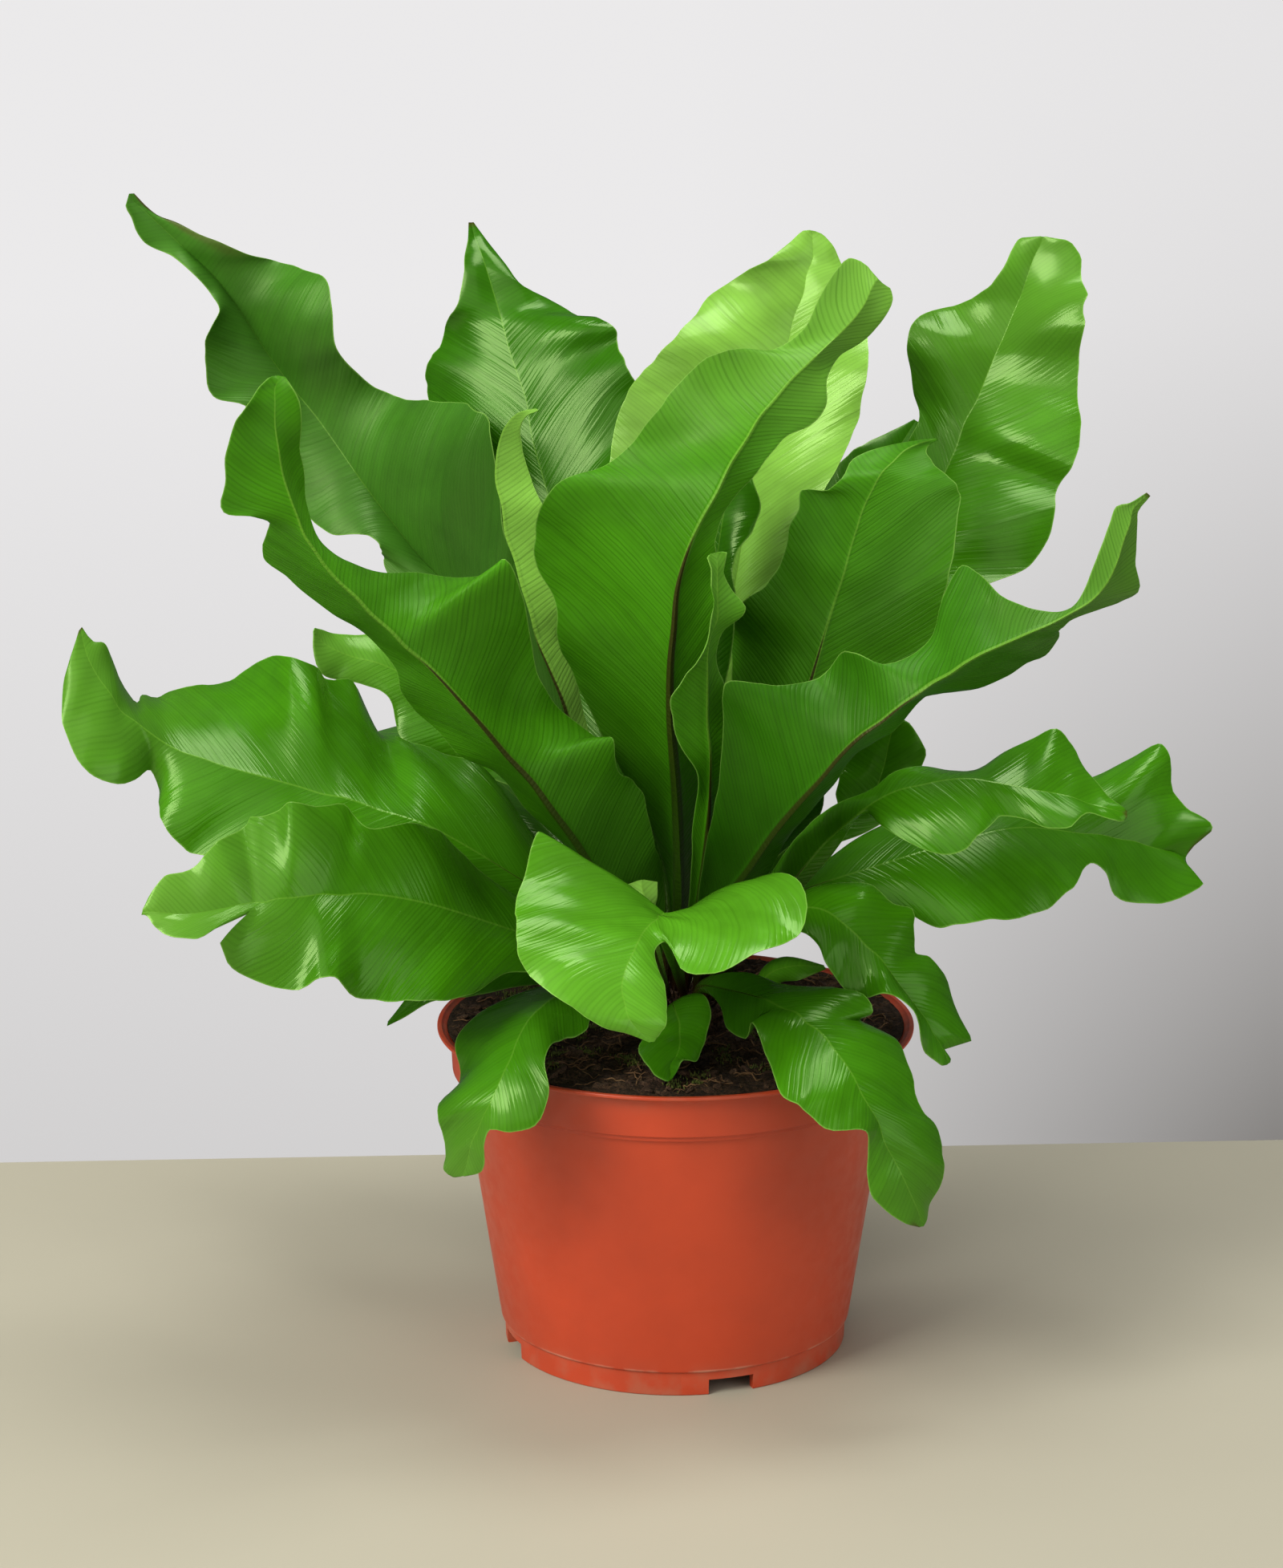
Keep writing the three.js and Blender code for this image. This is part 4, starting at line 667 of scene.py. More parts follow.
        (56, -42, 149, 68, -32, 156, 50, -48, 136),
        (59, -44, 146, 74, -32, 154, 53, -50, 133),
        (63, -46, 143, 74, -36, 147, 59, -53, 132),
        (66, -47, 139, 75, -38, 142, 64, -58, 135),
        (69, -48, 135, 80, -38, 141, 69, -58, 133),
        (72, -48, 131, 85, -38, 136, 73, -58, 129),
        (75, -49, 127, 87, -38, 128, 75, -57, 124),
        (78, -49, 123, 89, -40, 121, 76, -56, 119),
        (80, -49, 119, 92, -42, 114, 78, -54, 114),
        (82, -49, 116, 84, -47, 113, 81, -52, 111),
        (84, -49, 112, 86, -48, 110, 83, -51, 109),
        (85, -49, 109),
    ]),
    "right_dark": (("outer", 4), "mid", [
        (22, -6, 142, 21, -2, 144, 24, -8, 141),
        (40, -8, 153, 41, 2, 156, 41, -11, 151),
        (53, -12, 159, 56, 4, 166, 58, -17, 156),
        (65, -12, 163, 73, 10, 172, 71, -22, 152),
        (78, -11, 167, 87, 16, 175, 83, -26, 148),
        (91, -8, 170, 103, 20, 178, 94, -27, 148),
        (102, -4, 172, 116, 22, 179, 105, -25, 149),
        (112, 0, 172, 128, 26, 180, 117, -20, 151),
        (122, 4, 170, 137, 29, 182, 125, -14, 155),
        (130, 7, 168, 148, 30, 187, 133, -4, 162),
        (137, 9, 167, 158, 30, 192, 138, -4, 159),
        (143, 11, 165, 160, 28, 187, 141, -6, 152),
        (148, 12, 164, 162, 24, 178, 146, -6, 149),
        (153, 13, 162, 166, 21, 173, 154, -3, 147),
        (157, 13, 161, 172, 18, 170, 162, 1, 148),
        (161, 14, 160, 173, 16, 166, 170, 5, 152),
        (163, 14, 159, 168, 15, 162, 166, 9, 155),
        (165, 14, 158),
    ]),
    "right_light": (("outer", 3), "mid", [
        (22, -12, 140, 20, -8, 143, 25, -10, 138),
        (36, -14, 157, 32, -6, 161, 40, -12, 155),
        (47, -18, 172, 41, -9, 174, 51, -16, 170),
        (55, -26, 182, 51, -18, 185, 59, -20, 183),
        (62, -28, 188, 62, -20, 190, 64, -34, 182),
        (69, -29, 192, 69, -18, 195, 71, -40, 179),
        (76, -30, 194, 77, -16, 197, 80, -45, 177),
        (84, -31, 196, 86, -16, 196, 88, -46, 178),
        (92, -33, 197, 94, -18, 196, 95, -44, 182),
        (99, -34, 196, 103, -18, 201, 101, -40, 187),
        (106, -35, 195, 112, -18, 205, 108, -42, 187),
        (112, -36, 194, 119, -20, 209, 115, -46, 185),
        (118, -36, 193, 124, -22, 205, 122, -46, 185),
        (123, -37, 192, 127, -26, 200, 127, -42, 188),
        (128, -37, 190, 132, -31, 194, 132, -41, 187),
        (133, -38, 189, 135, -34, 191, 136, -41, 186),
        (137, -38, 188, 139, -37, 189, 139, -39, 185),
        (140, -38, 187),
    ]),
    "right_behind": (("outer", 5), "mid", [
        (28, 24, 144, 26, 25, 147, 31, 22, 143),
        (44, 31, 158, 41, 32, 160, 48, 29, 156),
        (57, 37, 165, 53, 37, 168, 65, 34, 162),
        (64, 40, 170, 53, 41, 172, 73, 36, 168),
        (67, 42, 176, 54, 43, 177, 78, 38, 175),
        (69, 44, 182, 53, 46, 180, 81, 40, 182),
        (70, 45, 187, 54, 48, 184, 82, 41, 187),
        (71, 46, 191, 60, 49, 189, 80, 43, 191),
        (72, 47, 194, 66, 49, 193, 77, 45, 195),
        (73, 48, 196),
    ]),
    "under_left": (("outer", 13), "mid", [
        (-26, -12, 124, -28, -14, 123, -25, -10, 125),
        (-47, -24, 131, -49, -29, 128, -45, -18, 134),
        (-62, -33, 134, -64, -41, 129, -60, -26, 138),
        (-75, -43, 133, -77, -50, 129, -75, -36, 137),
        (-90, -55, 124),
    ]),
    "left_hidden": (("outer", 12), "dark", [
        (-30, 8, 136, -32, 4, 135, -30, 12, 138),
        (-58, 22, 152, -64, 10, 149, -56, 35, 156),
        (-84, 36, 160, -90, 20, 156, -80, 52, 163),
        (-108, 48, 159, -116, 34, 155, -104, 62, 161),
        (-132, 60, 148),
    ]),
    "back_low_left": (("outer", 10), "mid", [
        (-26, 32, 140, -30, 30, 140, -22, 36, 141),
        (-52, 66, 163, -65, 59, 162, -42, 76, 166),
        (-78, 96, 174, -94, 85, 171, -64, 108, 175),
        (-102, 120, 172, -116, 108, 168, -88, 132, 172),
        (-124, 138, 158),
    ]),
    "back_low_centre": (("outer", 9), "mid", [
        (-12, 40, 138, -17, 40, 139, -7, 41, 139),
        (-20, 76, 156, -34, 75, 157, -6, 78, 157),
        (-27, 108, 162, -44, 105, 160, -10, 111, 162),
        (-32, 134, 158, -44, 131, 154, -20, 136, 156),
        (-35, 154, 144),
    ]),
    "back_low_right": (("outer", 7), "dark", [
        (13, 40, 136, 9, 42, 137, 18, 39, 136),
        (24, 74, 154, 12, 78, 156, 36, 70, 153),
        (32, 106, 162, 18, 111, 162, 48, 102, 160),
        (38, 132, 158, 28, 136, 157, 50, 128, 155),
        (42, 152, 146),
    ]),
    "right_shaded": (("outer", 6), "dark", [
        (23, 27, 143, 21, 29, 145, 26, 25, 144),
        (30, 36, 151, 26, 38, 154, 37, 33, 154),
        (35, 42, 157, 30, 44, 160, 44, 38, 159),
        (39, 47, 164, 32, 49, 167, 48, 43, 165),
        (42, 52, 170, 35, 53, 174, 49, 47, 172),
        (44, 56, 178, 38, 58, 183, 49, 52, 179),
        (47, 61, 186, 42, 62, 191, 52, 58, 186),
        (50, 66, 194, 46, 66, 198, 54, 64, 194),
        (54, 70, 201),
    ]),
    "back_high": (("outer", 8), "mid", [
        (-2, 34, 160, -8, 35, 161, 4, 35, 162),
        (-6, 64, 202, -24, 66, 206, 12, 67, 207),
        (-9, 96, 234, -32, 98, 240, 14, 100, 240),
        (-12, 126, 250, -30, 128, 256, 8, 131, 256),
        (-14, 148, 252),
    ]),
}

# A small frond by itself, rooted in the soil beside the crown
SIDE_FROND = [
    (24, -14, 118, 23, -12, 119, 26, -16, 117),
    (30, -19, 129, 29, -15, 131, 33, -22, 127),
    (37, -24, 133, 35, -19, 135, 39, -29, 130),
    (47, -28, 134),
]
SIDE_FROND_ROOT = (20.0, -9.0, 98.0)


# Leaf shapes

def seat_place(seat):
    """Where a stalk stands on the crown, and how far that is from the crown's axis."""
    radius, seats, first = SEAT_RINGS[seat[0]]
    x, y = on_circle(radius, math.radians(first + seat[1] * 360.0 / seats))
    return x, y, radius


def crown_height(radius):
    """Height of the crown's dome at a distance from its axis."""
    rise = math.sqrt(max(0.0, 1.0 - (radius / (CROWN_RADIUS + CROWN_DOME_SPREAD)) ** 2))
    return CROWN_SHOULDER_Z + (CROWN_TOP_Z - CROWN_SHOULDER_Z) * rise


def spline(points, share):
    """Centripetal spline through the points, at shares from 0 to 1 of their number."""
    points = np.asarray(points, float)
    padded = np.vstack([2 * points[0] - points[1], points, 2 * points[-1] - points[-2]])
    place = np.clip(share, 0.0, 1.0) * (len(points) - 1)
    index = np.minimum(place.astype(int), len(points) - 2)
    p0, p1, p2, p3 = (padded[index + k] for k in range(4))
    gaps = [np.sqrt(np.linalg.norm(b - a, axis=1))[:, None] for a, b in ((p0, p1), (p1, p2), (p2, p3))]
    before, here, after = (np.maximum(gap, 1e-4) for gap in gaps)
    start = ((p1 - p0) / before - (p2 - p0) / (before + here) + (p2 - p1) / here) * here
    end = ((p2 - p1) / here - (p3 - p1) / (here + after) + (p3 - p2) / after) * here
    w = (place - index)[:, None]
    cube = 2 * p1 - 2 * p2 + start + end
    square = -3 * p1 + 3 * p2 - 2 * start - end
    return p1 + start * w + square * w ** 2 + cube * w ** 3


def full_rows(root, top, rows):
    """The frond's rows with the stalk's top before them and a blunt tip after them."""
    first = np.array(rows[0], float)
    side = (first[6:9] - first[3:6]) * (1, 1, 0)
    side *= STALK_HALF / max(np.linalg.norm(side), 1e-6)
    tip = np.array(rows[-1], float)
    before = np.array(rows[-2], float)
    width = before[6:9] - before[3:6]
    width *= TIP_HALF / np.linalg.norm(width)
    stalk = np.concatenate([top, top - side, top + side])
    foot = np.concatenate([root, root - side, root + side])
    end = np.concatenate([tip, tip - width, tip + width])
    return foot, np.array([stalk, *rows[:-1], end], float)


def slow_noise(values, seed):
    """A smooth random wave between about -1 and 1."""
    step = 0.1
    grid = np.arange(values.min() - 2 * step, values.max() + 2 * step, step)
    wave = [1.6 * noise.noise(Vector((float(v), seed * 7.3, 0.5))) for v in grid]
    return np.interp(values, grid, wave)


class Blade:
    """The points of one frond, worked out from its rows."""

    def __init__(self, root, top, rows, number):
        foot, full = full_rows(np.array(root, float), np.array(top, float), rows)
        rib, left, right = full[:, 0:3], full[:, 3:6], full[:, 6:9]
        fine = np.linspace(0.0, 1.0, SPLINE_SAMPLES)
        run = np.linalg.norm(np.diff(spline(rib, fine), axis=0), axis=1)
        run = np.concatenate([[0.0], np.cumsum(run)])
        self.length = run[-1]
        self.number = number
        at_rows = np.interp(np.linspace(0.0, 1.0, len(full)), fine, run)
        even = np.arange(0.0, self.length, ALONG_STEP)
        apart = np.abs(even[:, None] - at_rows).min(1) > ALONG_STEP / 3
        along = np.sort(np.concatenate([even[apart], at_rows]))
        self.share = along / self.length
        place = np.interp(along, run, fine)
        self.rib = spline(rib, place)
        self.left = spline(left, place)
        self.right = spline(right, place)
        ahead = spline(rib, np.minimum(place + 1e-3, 1.0)) - spline(rib, np.maximum(place - 1e-3, 0.0))
        normal = np.cross(self.right - self.left, ahead)
        self.normal = normal / np.linalg.norm(normal, axis=1)[:, None]
        self.foot = foot

    def columns(self, width):
        """Distances from the midrib, in millimetres, for each station: close by the rib, then even."""
        rib = RIB_COLUMNS_ROOT * (1.0 - self.share) + RIB_COLUMNS_TIP
        near = np.stack([np.minimum(rib * k, width * 0.2 * k) for k in RIB_COLUMNS], 1)
        far = np.linspace(0.0, 1.0, SIDE_COLUMNS - len(RIB_COLUMNS))[None, 1:]
        start = near[:, -1:]
        edge = width[:, None] - np.minimum(MARGIN_BAND, width * 0.08)[:, None]
        return np.concatenate([near, start + (edge - start) * far, width[:, None]], 1)

    def half(self, margin, side):
        """One half of the middle surface, with each point's distance from rib and margin."""
        width = np.linalg.norm(margin - self.rib, axis=1)
        across = self.columns(width)
        reach = across / width[:, None]
        run = (self.share * self.length)[:, None] - VEIN_SLANT * across
        phase = 2 * np.pi * run / WAVE_LENGTH + side * WAVE_SIDE_TURN + self.number * WAVE_FROND_TURN
        wave = np.minimum(WAVE_MOST, width * WAVE_SHARE)[:, None] * np.sin(phase)
        seed = self.number * 2 + (side > 0)
        broad, small = (slow_noise(run / length, seed) for length in RUFFLE_LENGTHS)
        ruffle = np.minimum(RUFFLE_MOST, width * RUFFLE_SHARE)[:, None] * (broad + SMALL_RUFFLE * small)
        bow = (width * BOW_SHARE)[:, None] * np.sin(np.pi * reach)
        lift = (wave + ruffle) * reach ** WAVE_RISE + bow
        nick = np.minimum(NICK_SHARE, NICK_MOST / width)[:, None]
        nick = nick * slow_noise(run / NICK_LENGTH, seed + NICK_SEED)
        trim = 1.0 - nick * reach ** NICK_RISE
        points = self.rib[:, None] + (margin - self.rib)[:, None] * (reach * trim)[:, :, None]
        return points + self.normal[:, None] * lift[:, :, None], across, width

    def grid(self):
        """The whole middle surface with its measures, from left margin to right margin."""
        left, left_across, left_width = self.half(self.left, -1)
        right, right_across, right_width = self.half(self.right, 1)
        points = np.concatenate([left[:, ::-1], self.rib[:, None], right], 1)
        zero = np.zeros((len(self.share), 1))
        across = np.concatenate([-left_across[:, ::-1], zero, right_across], 1)
        width = np.where(across < 0, left_width[:, None], right_width[:, None])
        return points, across, width


def grid_normals(points):
    """Normals of a grid of points, on the side that its rows turn to."""
    along = np.gradient(points, axis=0)
    across = np.gradient(points, axis=1)
    normal = np.cross(across, along)
    return normal / np.maximum(np.linalg.norm(normal, axis=2), 1e-9)[:, :, None]


def grid_faces(rows, columns, flip):
    """Four-sided faces of a grid of points."""
    i, j = np.meshgrid(np.arange(rows - 1), np.arange(columns - 1), indexing="ij")
    a = (i * columns + j).ravel()
    ring = [a, a + 1, a + columns + 1, a + columns]
    return np.stack(ring[::-1] if flip else ring, 1)


def rim_ring(rows, columns):
    """The border points of a grid in order, once round."""
    grid = np.arange(rows * columns).reshape(rows, columns)
    return np.concatenate([grid[0, :-1], grid[:-1, -1], grid[-1, :0:-1], grid[:0:-1, 0]])


def frond_mesh(name, blade):
    """A closed thin leaf with a keeled midrib, two face materials and its leaf measures."""
    points, across, width = blade.grid()
    rows, columns = across.shape
    count = rows * columns
    share = blade.share[:, None] * np.ones((1, columns))
    stalk = stalkiness(share, width)
    above, below = thickness(across, width, share, stalk)
    normals = grid_normals(points)
    top = points + normals * above[:, :, None]
    bottom = points - normals * below[:, :, None]
    vertices = np.concatenate([top.reshape(-1, 3), bottom.reshape(-1, 3)]) * MM
    upper = grid_faces(rows, columns, False)
    under = grid_faces(rows, columns, True) + count
    ring = rim_ring(rows, columns)
    after = np.roll(ring, -1)
    rim = np.stack([ring, ring + count, after + count, after], 1)
    faces = np.concatenate([upper, under, rim])
    mesh = mesh_from(f"leaf_{name}", vertices.tolist(), faces.tolist())
    mesh.polygons.foreach_set("material_index", [0] * len(upper) + [1] * (len(under) + len(rim)))
    mesh.set_sharp_from_angle(angle=math.radians(60.0))
    store_place(mesh, across, share * blade.length)
    store_marks(mesh, leaf_marks(name, share, stalk, across, width))
    return mesh


def stalkiness(share, width):
    """How much of a round stalk each point has, from 1 on the stalk to 0 on the blade."""
    whole = (width[:, :1] + width[:, -1:]) / 2
    return np.clip(1.0 - (whole - STALK_HALF) / STALK_TO_BLADE, 0.0, 1.0) * (1.0 - share)


def thickness(across, width, share, stalk):
    """How far each point of the leaf stands above and below its middle surface."""
    reach = np.abs(across) / width
    rib_half = RIB_HALF_ROOT * (1.0 - share) + RIB_HALF_TIP
    keel = np.clip(1.0 - (np.abs(across) / rib_half) ** 2, 0.0, 1.0) * (1.0 - stalk)
    rounded_edge = np.sqrt(np.clip((1.0 - reach) / EDGE_ROUND, 0.0, 1.0))
    edge = np.minimum(1.0, EDGE_THIN + (1.0 - EDGE_THIN) * rounded_edge)
    flat = HALF_THICKNESS * edge * (1.0 - TIP_THINNER * share)
    round_stalk = np.sqrt(np.clip(1.0 - reach ** 2, 0.0, 1.0))
    flesh = flat + stalk * round_stalk * (STALK_HALF - HALF_THICKNESS)
    above = flesh + keel * RIB_RISE * (1.0 - share)
    below = flesh + keel * RIB_DEPTH * (1.0 - share) ** RIB_TAPER
    return above, below


def dryness(frond, share, reach):
    """How dried up each point of a leaf is, by its place along the leaf and towards a margin."""
    if frond in DRY_MARGINS:
        length, side = DRY_MARGINS[frond]
        by_margin = np.clip((side * reach - 0.5) / 0.25, 0.0, 1.0)
        return by_margin * np.clip((share - 1.0 + length) / length, 0.0, 1.0) ** 0.5
    if frond in DRY_TIPS:
        return np.clip((share - 1.0) / DRY_TIP_SHARE + 1.0, 0.0, 1.0) ** 0.5
    return np.zeros_like(share)


def leaf_marks(name, share, stalk, across, width):
    """What the materials have to know about each point of a leaf."""
    by_margin = 1.0 - (width - np.abs(across)) / MARGIN_BAND
    by_tip = (share - PALE_FROM) / (1.0 - PALE_FROM)
    return {
        "Share": share,
        "Stalk": np.clip(stalk, 0.0, 1.0),
        # where the painted highlight along the margin lies
        "Margin": np.clip(by_margin, 0.0, 1.0) * (width > MARGIN_HIGHLIGHT_LEAST_WIDTH),
        "Dryness": dryness(name, share, across / width),
        # pale tips: young growth's own colour, and on some leaves a painted highlight
        "Tip paleness": PALE_TIPS.get(name, 0.0) * np.clip(by_tip, 0.0, 1.0),
        "Rib width": BOLD_RIBS.get(name, 1.0) * np.ones_like(share),
    }


def store_place(mesh, across, along):
    """Keeps each point's place on the leaf as a map, for the materials."""
    corner = np.empty(len(mesh.loops), int)
    mesh.loops.foreach_get("vertex_index", corner)
    place = np.stack([across, along], 2).reshape(-1, 2) * MM
    place = np.concatenate([place, place])[corner]
    layer = mesh.uv_layers.new(name="Leaf")
    layer.uv.foreach_set("vector", place.astype(np.float32).ravel())


def store_marks(mesh, marks):
    """Keeps a value for each point of the leaf under each name, for the materials."""
    for label, values in marks.items():
        both = np.concatenate([values.ravel(), values.ravel()]).astype(np.float32)
        mesh.attributes.new(label, "FLOAT", "POINT").data.foreach_set("value", both)


# Materials

class Tree:
    """Adds and joins the nodes of one material or node group."""

    def __init__(self, tree):
        self.tree = tree

    def add(self, kind, **values):
        node = self.tree.nodes.new(kind)
        for name, value in values.items():
            setattr(node, name, value)
        return node

    def feed(self, socket, value):
        """Links a socket to another one, or gives it a number, a vector or a colour."""
        if isinstance(value, bpy.types.NodeSocket):
            self.tree.links.new(value, socket)
        elif socket.type == "RGBA":
            socket.default_value = (*value, 1.0)
        else:
            socket.default_value = value

    def fill(self, node, values):
        """Feeds the inputs that the values name."""
        for name, value in values.items():
            self.feed(node.inputs[name], value)
        return node.outputs

    def line_up(self, node, values):
        """Feeds the inputs in their order."""
        for socket, value in zip(node.inputs, values):
            self.feed(socket, value)
        return node.outputs

    def math(self, operation, *values):
        return self.line_up(self.add("ShaderNodeMath", operation=operation), values)[0]

    def times(self, value, *others):
        for other in others:
            value = self.math("MULTIPLY", value, other)
        return value

    def ramp(self, value, low, high, first=0.0, last=1.0, smooth=True):
        kind = "SMOOTHSTEP" if smooth else "LINEAR"
        node = self.add("ShaderNodeMapRange", interpolation_type=kind)
        return self.line_up(node, (value, low, high, first, last))[0]

    def mix(self, share, first, second, blend="MIX"):
        node = self.add("ShaderNodeMix", data_type="RGBA", blend_type=blend)
        for index, value in ((0, share), (6, first), (7, second)):
            self.feed(node.inputs[index], value)
        return node.outputs[2]

    def layered(self, colour, layers):
        """A colour under layers of other colours, each with the share that it covers."""
        for cover, above in layers:
            colour = self.mix(cover, colour, above)
        return colour

    def parts(self, vector):
        return self.line_up(self.add("ShaderNodeSeparateXYZ"), [vector])

    def noise(self, vector, scale, detail=3.0, roughness=0.55):
        values = {"Vector": vector, "Scale": scale, "Detail": detail, "Roughness": roughness}
        return self.fill(self.add("ShaderNodeTexNoise"), values)[0]

    def mark(self, name):
        return self.add("ShaderNodeAttribute", attribute_name=name).outputs["Fac"]

    def object_place(self):
        return self.add("ShaderNodeTexCoord").outputs["Object"]

    def group(self, name, values):
        """The outputs of a shared node group, which is built the first time it is asked for."""
        shared = bpy.data.node_groups.get(name) or GROUPS[name](name)
        return self.fill(self.add("ShaderNodeGroup", node_tree=shared), values)

    def mottle(self, scale, low=0.0, high=1.0):
        """Uneven patches over the piece."""
        values = {"Place": self.object_place(), "Scale": scale, "Low": low, "High": high}
        return self.group("Mottle", values)["Value"]


def new_group(name, place, numbers, outputs):
    """An empty node group with a place and numbers going in, its Tree and its two ends."""
    group = bpy.data.node_groups.new(name, "ShaderNodeTree")
    group.interface.new_socket(place, in_out="INPUT", socket_type="NodeSocketVector")
    for socket, value in numbers.items():
        made = group.interface.new_socket(socket, in_out="INPUT", socket_type="NodeSocketFloat")
        made.default_value = value
    for socket in outputs:
        group.interface.new_socket(socket, in_out="OUTPUT", socket_type="NodeSocketFloat")
    tree = Tree(group)
    return group, tree, tree.add("NodeGroupInput").outputs, tree.add("NodeGroupOutput")


def build_veins(name):
    """Fine veins that leave the midrib at a slant and run side by side to the margin."""
    numbers = {"Pitch": 0.0017, "Slant": VEIN_SLANT, "Wander": 0.0008}
    group, tree, given, put = new_group(name, "Leaf place", numbers, ("Ridge", "Band", "Streak"))
    place = tree.parts(given["Leaf place"])
    offset = tree.math("ABSOLUTE", place["X"])
    drift = tree.math("SUBTRACT", tree.noise(given["Leaf place"], 90.0, 2.0), 0.5)
    line = tree.math("SUBTRACT", place["Y"], tree.times(offset, given["Slant"]))
    line = tree.math("ADD", line, tree.times(drift, given["Wander"]))
    turns = tree.times(tree.math("DIVIDE", line, given["Pitch"]), 2 * math.pi)
    ridge = tree.ramp(tree.math("SINE", turns), -0.2, 1.0)
    band, streak = (vein_noise(tree, line, offset, *look) for look in (BAND_NOISE, STREAK_NOISE))
    broken = tree.ramp(streak, 0.35, 0.65, 0.4, 1.0)
    tree.fill(put, {"Ridge": tree.times(ridge, broken), "Band": band, "Streak": streak})
    return group


def vein_noise(tree, line, offset, across, along, detail):
    """Noise drawn out along the veins."""
    stretched = tree.add("ShaderNodeCombineXYZ")
    tree.fill(stretched, {"X": tree.times(line, across), "Y": tree.times(offset, along)})
    return tree.noise(stretched.outputs[0], 1.0, detail)


def build_midrib(name):
    """A line down the middle of the leaf that narrows to an end some way along it."""
    numbers = {"Share": 0.0, "Half width": 0.0008, "Least": 0.0002, "End": 1.0}
    group, tree, given, put = new_group(name, "Leaf place", numbers, ["Mask"])
    offset = tree.math("ABSOLUTE", tree.parts(given["Leaf place"])["X"])
    left = tree.math("SUBTRACT", 1.0, tree.math("DIVIDE", given["Share"], given["End"]))
    half = tree.times(tree.math("MAXIMUM", left, 0.0), given["Half width"])
    half = tree.math("ADD", half, given["Least"])
    line = tree.ramp(tree.math("DIVIDE", offset, half), 1.3, 0.7)
    tree.fill(put, {"Mask": tree.times(line, tree.ramp(left, -0.02, 0.06))})
    return group


def build_mottle(name):
    """Uneven patches between a low and a high value."""
    numbers = {"Scale": 40.0, "Low": 0.0, "High": 1.0}
    group, tree, given, put = new_group(name, "Place", numbers, ["Value"])
    patches = tree.noise(given["Place"], given["Scale"], 4.0)
    tree.fill(put, {"Value": tree.ramp(patches, 0.3, 0.7, given["Low"], given["High"])})
    return group


def build_grit(name):
    """Crumbs and pores: a height and a light-dark mask."""
    group, tree, given, put = new_group(name, "Place", {"Scale": 400.0}, ("Height", "Mask"))
    crumbs = tree.add("ShaderNodeTexVoronoi")
    tree.fill(crumbs, {"Vector": given["Place"], "Scale": given["Scale"]})
    fine = tree.noise(given["Place"], tree.times(given["Scale"], 2.3), 5.0, 0.7)
    height = tree.math("ADD", tree.times(crumbs.outputs["Distance"], -0.8), fine)
    tree.fill(put, {"Height": height, "Mask": tree.ramp(fine, 0.38, 0.66)})
    return group


GROUPS = {
    "Leaf veins": build_veins,
    "Midrib": build_midrib,
    "Mottle": build_mottle,
    "Grit": build_grit,
}


def new_material(name):
    """A material with its Tree and its Principled shader."""
    material = bpy.data.materials.new(name)
    material.use_nodes = True
    return material, Tree(material.node_tree), material.node_tree.nodes["Principled BSDF"]


def bump(tree, height, distance, strength=1.0):
    """The surface normal that a height gives, for relief of so many metres."""
    values = {"Strength": strength, "Distance": distance, "Height": height}
    return tree.fill(tree.add("ShaderNodeBump"), values)[0]


def shade(colour, share):
    """A darker colour."""
    return [share * part for part in colour]


def leaf_material(settings, tone, side):
    """Waxy leaf: slanting veins, a midrib, a painted highlight along the margin and a little light coming
    through.
    """
    face = FACES[side]
    gloss = settings.under_roughness if side == "under" or tone == "dull" else settings.roughness
    material, tree, shader = new_material(f"Leaf {tone} {side}")
    place = tree.add("ShaderNodeUVMap", uv_map="Leaf").outputs[0]
    share = tree.mark("Share")
    veins = tree.group("Leaf veins", {"Leaf place": place, "Pitch": settings.vein_pitch})
    colour = leaf_colour(tree, settings, tone, face, place, share, veins)
    ridge = tree.times(veins["Ridge"], face["vein_height"])
    relief = tree.math("SUBTRACT", tree.times(veins["Band"], BAND_HEIGHT), ridge)
    relief = tree.math("ADD", relief, tree.times(veins["Streak"], STREAK_HEIGHT))
    relief = tree.times(relief, tree.ramp(share, *SMOOTH_TIP_STRETCH))
    tree.fill(shader, {
        "Base Color": colour,
        "Roughness": tree.mottle(60.0, gloss - 0.05, gloss + 0.08),
        "Normal": bump(tree, relief, settings.vein_depth),
        "Specular IOR Level": settings.wax * face["wax"],
        "Specular Tint": settings.sheen_colour,
    })
    glow = tree.add("ShaderNodeBsdfTranslucent")
    tree.fill(glow, {"Color": tree.mix(1.0, colour, settings.glow_colour, "MULTIPLY")})
    both = tree.add("ShaderNodeMixShader")
    lit = tree.line_up(both, (settings.see_through, shader.outputs[0], glow.outputs[0]))[0]
    tree.fill(material.node_tree.nodes["Material Output"], {"Surface": lit})
    return material


